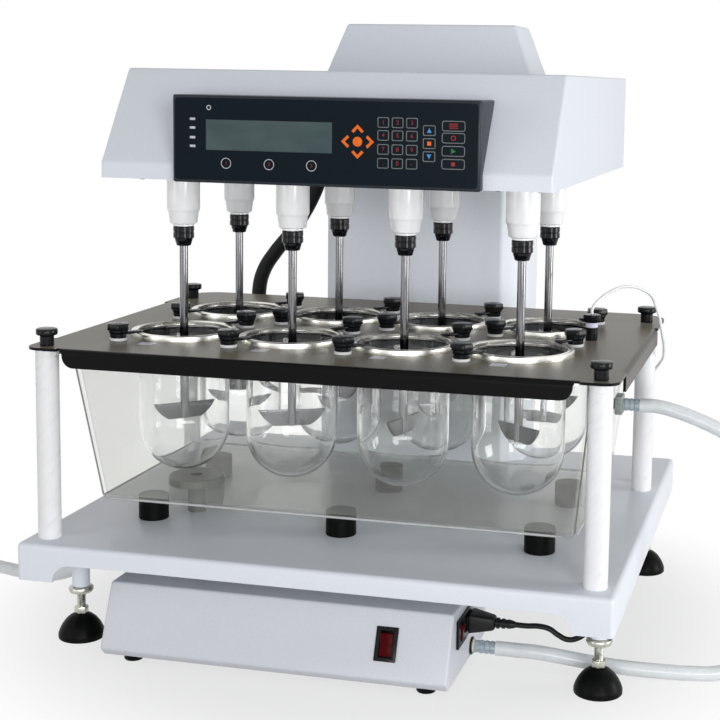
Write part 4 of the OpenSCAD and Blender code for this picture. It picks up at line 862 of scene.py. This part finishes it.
fitted(made(hood_shape(), "hood_folded", head_paint), "head", "hood")
dressed("head_plate", mill_steel)
screw_head = turned([(0, 528.4), (2.4, 528.6), (3.4, 529.4), (3.6, 531), (0, 531)], 20)
screws = repeated(screw_head, places([(x, y) for x in (-203, 186, 230) for y in (-232, 0, 230)]))
fitted(made(screws, "floor_screws", zinc), "head", slot="zinc_steel")

PANEL_FRONT, FILM_FRONT = -256, -257.2
WINDOW_AT = (-51, 579)
PANEL_SECTION = [(PANEL_FRONT, 529), (PANEL_FRONT, 620), (-195.4, 620), (-245, 547), (-245, 529)]
panel_shape = drawn([(-157, y, z) for y, z in PANEL_SECTION], (330, 0, 0))
rounded(panel_shape, 2.2, 4, lambda a, b: a.y < -250 or b.y < -250)
fitted(made(panel_shape, "panel_housing_moulded", panel_black), "head", "panel_housing")


def on_panel(x, z, y=FILM_FRONT):
    """The place of a mark on the overlay: local X to the right, local Y up, local Z out of the panel."""
    return at(x, y, z) @ turn(90, "X")


film = rounded(boxed((-162, -42.5, 0), (162, 42.5, 1.2)), 4, 4, upright)
overlay = carved(made(moved(film, on_panel(8, 574.5, PANEL_FRONT)), "panel_overlay_film", overlay_film),
                 moved(boxed((-69, -16, -4), (69, 16, 4)), on_panel(*WINDOW_AT, PANEL_FRONT - 0.6)))
fitted(overlay, "head", "panel_overlay")
display = moved(rounded(boxed((-68.8, -15.8, 0), (68.8, 15.8, 0.5)), 0.2, 1), on_panel(*WINDOW_AT, PANEL_FRONT))
fitted(made(display, "display_window", display_glass), "head", slot="panel_film")

# Keys, lamps and signs printed on the overlay

MARK = 0.12


def frame_of(w, h, r, line):
    """An outline with rounded corners."""
    plate = bmesh.new()
    bmesh.ops.create_grid(plate, x_segments=1, y_segments=1, size=0.5)
    bmesh.ops.scale(plate, vec=(w * MM, h * MM, 1), verts=plate.verts)
    bmesh.ops.bevel(plate, geom=plate.verts[:], offset=r * MM, segments=3, profile=0.5, affect="VERTICES", material=-1)
    inner = bmesh.ops.inset_region(plate, faces=plate.faces[:], thickness=line * MM, use_boundary=True,
                                   use_even_offset=True)
    kept = set(inner["faces"])
    bmesh.ops.delete(plate, geom=[f for f in plate.faces if f not in kept], context="FACES")
    return thickened(plate, (0, 0, MARK))


def poly_mark(outline):
    return drawn([(x, y, 0) for x, y in outline], (0, 0, MARK))


def block_mark(w, h):
    return poly_mark([(-w / 2, -h / 2), (w / 2, -h / 2), (w / 2, h / 2), (-w / 2, h / 2)])


def ring_mark(r, line):
    return tube(r - line, r, 0, MARK, 28)


def figure(text, size):
    """A numeral as a thin mesh, centred on its place."""
    curve = bpy.data.curves.new("figure", "FONT")
    curve.body = text
    curve.size = size * MM
    curve.align_x = curve.align_y = "CENTER"
    curve.extrude = MARK / 2 * MM
    holder = placed("figure", curve)
    mesh = mesh_of(holder)
    bpy.data.objects.remove(holder)
    shape = bmesh.new()
    shape.from_mesh(mesh)
    bpy.data.meshes.remove(mesh)
    return moved(shape, at(0, 0, MARK / 2))


def printed(name, material, marks):
    """Marks of one colour as one piece."""
    fitted(made(gathered(*marks), name, material), "head", slot="panel_film")


KEY_H, KEY_LINE = 10.5, 0.8
KEY_X, KEY_Z = (72, 87, 102), (596, 583, 569, 555)
KEY_TEXT = (("1", "2", "3"), ("4", "5", "6"), ("7", "8", "9"), (".", "0", "-"))
STEP_X, STEP_Z = 120, (589, 576, 563)
WIDE_X, WIDE_Z = 145, (594, 582, 569, 556)
FUNCTION_X, FUNCTION_Z = (-97, -50, -4), 550
ARROWS_AT = on_panel(45, 576)

key_frames = [moved(frame_of(12, KEY_H, 1.6, KEY_LINE), on_panel(x, z)) for x in KEY_X for z in KEY_Z]
key_frames += [moved(frame_of(13, KEY_H, 1.4, KEY_LINE), on_panel(STEP_X, z)) for z in STEP_Z]
key_frames += [moved(frame_of(24, KEY_H, 2.4, KEY_LINE), on_panel(WIDE_X, z)) for z in WIDE_Z]
printed("key_frames", key_grey, key_frames)
rings = [moved(ring_mark(5.6, 0.7), on_panel(x, FUNCTION_Z)) for x in FUNCTION_X]
printed("function_rings", key_white, [*rings, moved(ring_mark(2.6, 0.9), on_panel(-116, 607))])
printed("lamp_bars", key_white, [moved(block_mark(6, 2.4), on_panel(-134, z)) for z in (595, 586, 576, 567)])
chevron = [(-6.6, -3.4), (-4.2, -5.2), (0, -0.6), (4.2, -5.2), (6.6, -3.4), (0, 3.4)]
arrows = [moved(poly_mark(chevron), at(0, 14), turn(a, "Z"), ARROWS_AT) for a in (0, 90, 180, 270)]
arrows += [moved(plain_round(5, 0, MARK, 28), ARROWS_AT), moved(block_mark(4, 4), on_panel(STEP_X, STEP_Z[1]))]
printed("arrow_keys", key_orange, arrows)
figures = [moved(figure(KEY_TEXT[j][i], 6), on_panel(x, z)) for i, x in enumerate(KEY_X) for j, z in enumerate(KEY_Z)]
figures += [moved(figure(str(i), 5), on_panel(x, FUNCTION_Z)) for i, x in enumerate(FUNCTION_X, 1)]
figures += [moved(block_mark(9, 1), at(0, y), on_panel(WIDE_X, WIDE_Z[0])) for y in (-2, 0, 2)]
figures += [moved(ring_mark(2.6, 0.9), on_panel(WIDE_X, WIDE_Z[1])),
            moved(block_mark(4, 4), on_panel(WIDE_X, WIDE_Z[3]))]
printed("key_figures", key_red, figures)
printed("height_keys", key_blue, [
    moved(poly_mark([(-2.4, -2.2 * s), (2.4, -2.2 * s), (0, 2.6 * s)][::s]), on_panel(STEP_X, z))
    for s, z in ((1, STEP_Z[0]), (-1, STEP_Z[2]))])
start = poly_mark([(-2.2, -2.6), (2.8, 0), (-2.2, 2.6)])
printed("start_key", key_green, [moved(start, on_panel(WIDE_X, WIDE_Z[2]))])

# Stirrer drive: housings, chucks, paddles, and the belt drive in the head

housing = [(8.2, 471.5), (11.2, 471.5), (11.7, 472), (11.7, 473.6), (13.6, 474), (15, 474.8), (15.5, 476),
           (16.8, 486.6), (17.6, 488.6), (18.3, 490), (18.5, 491.5), (18.5, 531), (8.2, 531), (8.2, 471.5)]
fitted(made(repeated(turned(housing, 48), places(VESSELS)), "spindle_housings_turned", housing_white), "head",
       "spindle_housings")
dressed("drive_motor", motor_paint)
dressed("motor_pulley", mill_steel)
dressed("drive_belt", belt_rubber)
CHUCK = [(4.9, 449.2), (7.4, 449.2), (8.2, 449.8), (8.9, 453), (9.2, 453.4), (9.9, 455.8), (10.1, 457.4), (11.2, 457.8),
         (11.75, 458.6), (11.75, 463.6), (11.2, 464.2), (11.2, 465), (11.75, 465.6), (11.75, 470.4), (11.2, 471.2)]
SPINDLE = [(8, 471.2), (8, 549), (22.6, 549), (23, 549.4), (23, 550.4), (20, 550.6), (20, 561.4), (23, 561.6),
           (23, 562.6), (22.6, 563), (4.9, 563), (4.9, 449.2)]


BLADE_R, BLADE_TOP, BLADE_BOTTOM, BLADE_T = 41.5, -17.3, -36.3, 4


def blade_shape():
    blade = bmesh.new()
    bmesh.ops.create_circle(blade, cap_ends=True, segments=96, radius=BLADE_R * MM)
    for height, keep in ((BLADE_TOP, 1), (BLADE_BOTTOM, -1)):
        everything = blade.verts[:] + blade.edges[:] + blade.faces[:]
        bmesh.ops.bisect_plane(blade, geom=everything, plane_co=m(0, height, 0), plane_no=(0, keep, 0),
                               clear_outer=True)
    edged(thickened(blade, (0, 0, BLADE_T)), 0.7, 0.5)
    return moved(blade, at(0, 0, -BLADE_T / 2), turn(90, "X"), at(0, 0, 288.3))


STEEL_FROM = 472
SHAFT = [(0, 252), (4.2, 252), (4.75, 252.6), (4.75, 578.4), (4.2, 579), (0, 579)]
for k, (place, angle) in enumerate(zip(VESSELS, BLADE_TURNS), 1):
    chuck_shape = turned(CHUCK + SPINDLE, 40)
    for face in chuck_shape.faces:
        face.material_index = 1 if face.calc_center_median().z > STEEL_FROM * MM else 0
    chuck = made(moved(chuck_shape, at(*place)), f"chuck_{k}_turned", chuck_black, mill_steel)
    fitted(chuck, f"spindle_{k}", f"chuck_{k}")
    blade = blade_shape()
    for face in blade.faces:
        face.material_index = 1
    paddle = made(moved(gathered(turned(SHAFT, 32), blade), turn(angle, "Z"), at(*place)), f"paddle_{k}_ground",
                  shaft_steel, blade_steel)
    fitted(paddle, f"spindle_{k}", f"paddle_{k}")

probe = turned([(0, 243), (2, 243.4), (3, 245), (3, 348), (6.6, 348), (7, 348.6), (7, 368.6), (9.5, 369), (10, 369.8),
                (10, 376.4), (9, 377.6), (1.8, 378), (0, 378)], 28)
probe_place = at(*PROBE_ROUTE[0][:2])
fitted(made(moved(probe, probe_place), "temperature_probe_turned", knob_black), "base", "temperature_probe")
band = turned([(7.02, 363), (7.15, 363.2), (7.15, 368.2), (7.02, 368.4), (7.02, 363)], 28)
fitted(made(moved(band, probe_place), "probe_band", label_pale), "base", slot="white_plastic")

# Studio: pale floor, white surround and soft lamps

world = bpy.data.worlds.new("studio")
bpy.context.scene.world = world
world.use_nodes = True
sky = world.node_tree


def seen_directly(tree):
    """1 for what the camera, a reflection or clear glass looks at, and 0 for plain lighting."""
    path = new_node(tree, "ShaderNodeLightPath")
    looked_at = worked(tree, "MAXIMUM", path.outputs["Is Camera Ray"], path.outputs["Is Glossy Ray"])
    return worked(tree, "MAXIMUM", looked_at, path.outputs["Is Transmission Ray"])


# The surround lights the object more from its walls than from its ceiling
upward = new_node(sky, "ShaderNodeSeparateXYZ")
sky.links.new(new_node(sky, "ShaderNodeTexCoord").outputs["Generated"], upward.inputs["Vector"])
WALL_LIGHT, CEILING_LIGHT, CEILING_FROM = 1.15, 0.2, 0.45
surround = ranged(sky, upward.outputs["Z"], (WALL_LIGHT, CEILING_LIGHT), (0, CEILING_FROM))
strength = ranged(sky, seen_directly(sky), (0, 1))
sky.links.new(surround, strength.node.inputs["To Min"])
background = preset(sky.nodes["Background"], {"Color": (1, 1, 1, 1)})
sky.links.new(strength, background.inputs["Strength"])

floor_shape = bmesh.new()
bmesh.ops.create_grid(floor_shape, x_segments=2, y_segments=2, size=9)
floor_paper = bpy.data.materials.new("floor_paper")
floor_paper.use_nodes = True
paper = floor_paper.node_tree
paper.nodes.remove(paper.nodes["Principled BSDF"])
matt = new_node(paper, "ShaderNodeBsdfDiffuse", Color=(0.7, 0.7, 0.7, 1))
lit = new_node(paper, "ShaderNodeEmission", Strength=1.0)
away = new_node(paper, "ShaderNodeVectorMath")
away.operation = "LENGTH"
paper.links.new(new_node(paper, "ShaderNodeTexCoord").outputs["Object"], away.inputs[0])
# The floor shows the shadow near the object and fades to white away from it
WHITE_SHARE, FADE_REACH = (0.68, 1.0), (0.3, 0.55)
fade = ranged(paper, away.outputs["Value"], WHITE_SHARE, FADE_REACH)
fade.node.interpolation_type = "SMOOTHSTEP"
share = worked(paper, "MULTIPLY", seen_directly(paper), fade)
surfaced(paper, share, matt.outputs["BSDF"], lit.outputs["Emission"])
floor = made(floor_shape, "floor", floor_paper)


def softbox(name, place, aim, size, power):
    """A soft lamp of a width and height that looks at a point."""
    lamp = bpy.data.lights.new(name, "AREA")
    lamp.shape = "RECTANGLE"
    lamp.size, lamp.size_y = size
    lamp.energy = power
    holder = placed(name, lamp)
    holder.location = place
    holder.rotation_mode = "QUATERNION"
    holder.rotation_quaternion = (Vector(aim) - Vector(place)).to_track_quat("-Z", "Y")


softbox("front_right_lamp", (1.7, -2.5, 0.8), (0, 0, 0.35), (0.8, 1.5), 25)
softbox("front_left_lamp", (-2.0, -2.2, 0.75), (0, 0, 0.35), (0.7, 1.5), 7)
softbox("low_lamp", (0.5, -2.8, 0.5), (0, 0, 0.25), (1.6, 0.5), 15)
softbox("right_lamp", (2.5, 0.1, 0.55), (0, 0, 0.35), (1.0, 1.0), 24)
softbox("top_lamp", (0.2, 0.2, 2.6), (0, 0, 0.3), (2.4, 2.4), 3)

bpy.context.scene.view_settings.view_transform = "Standard"
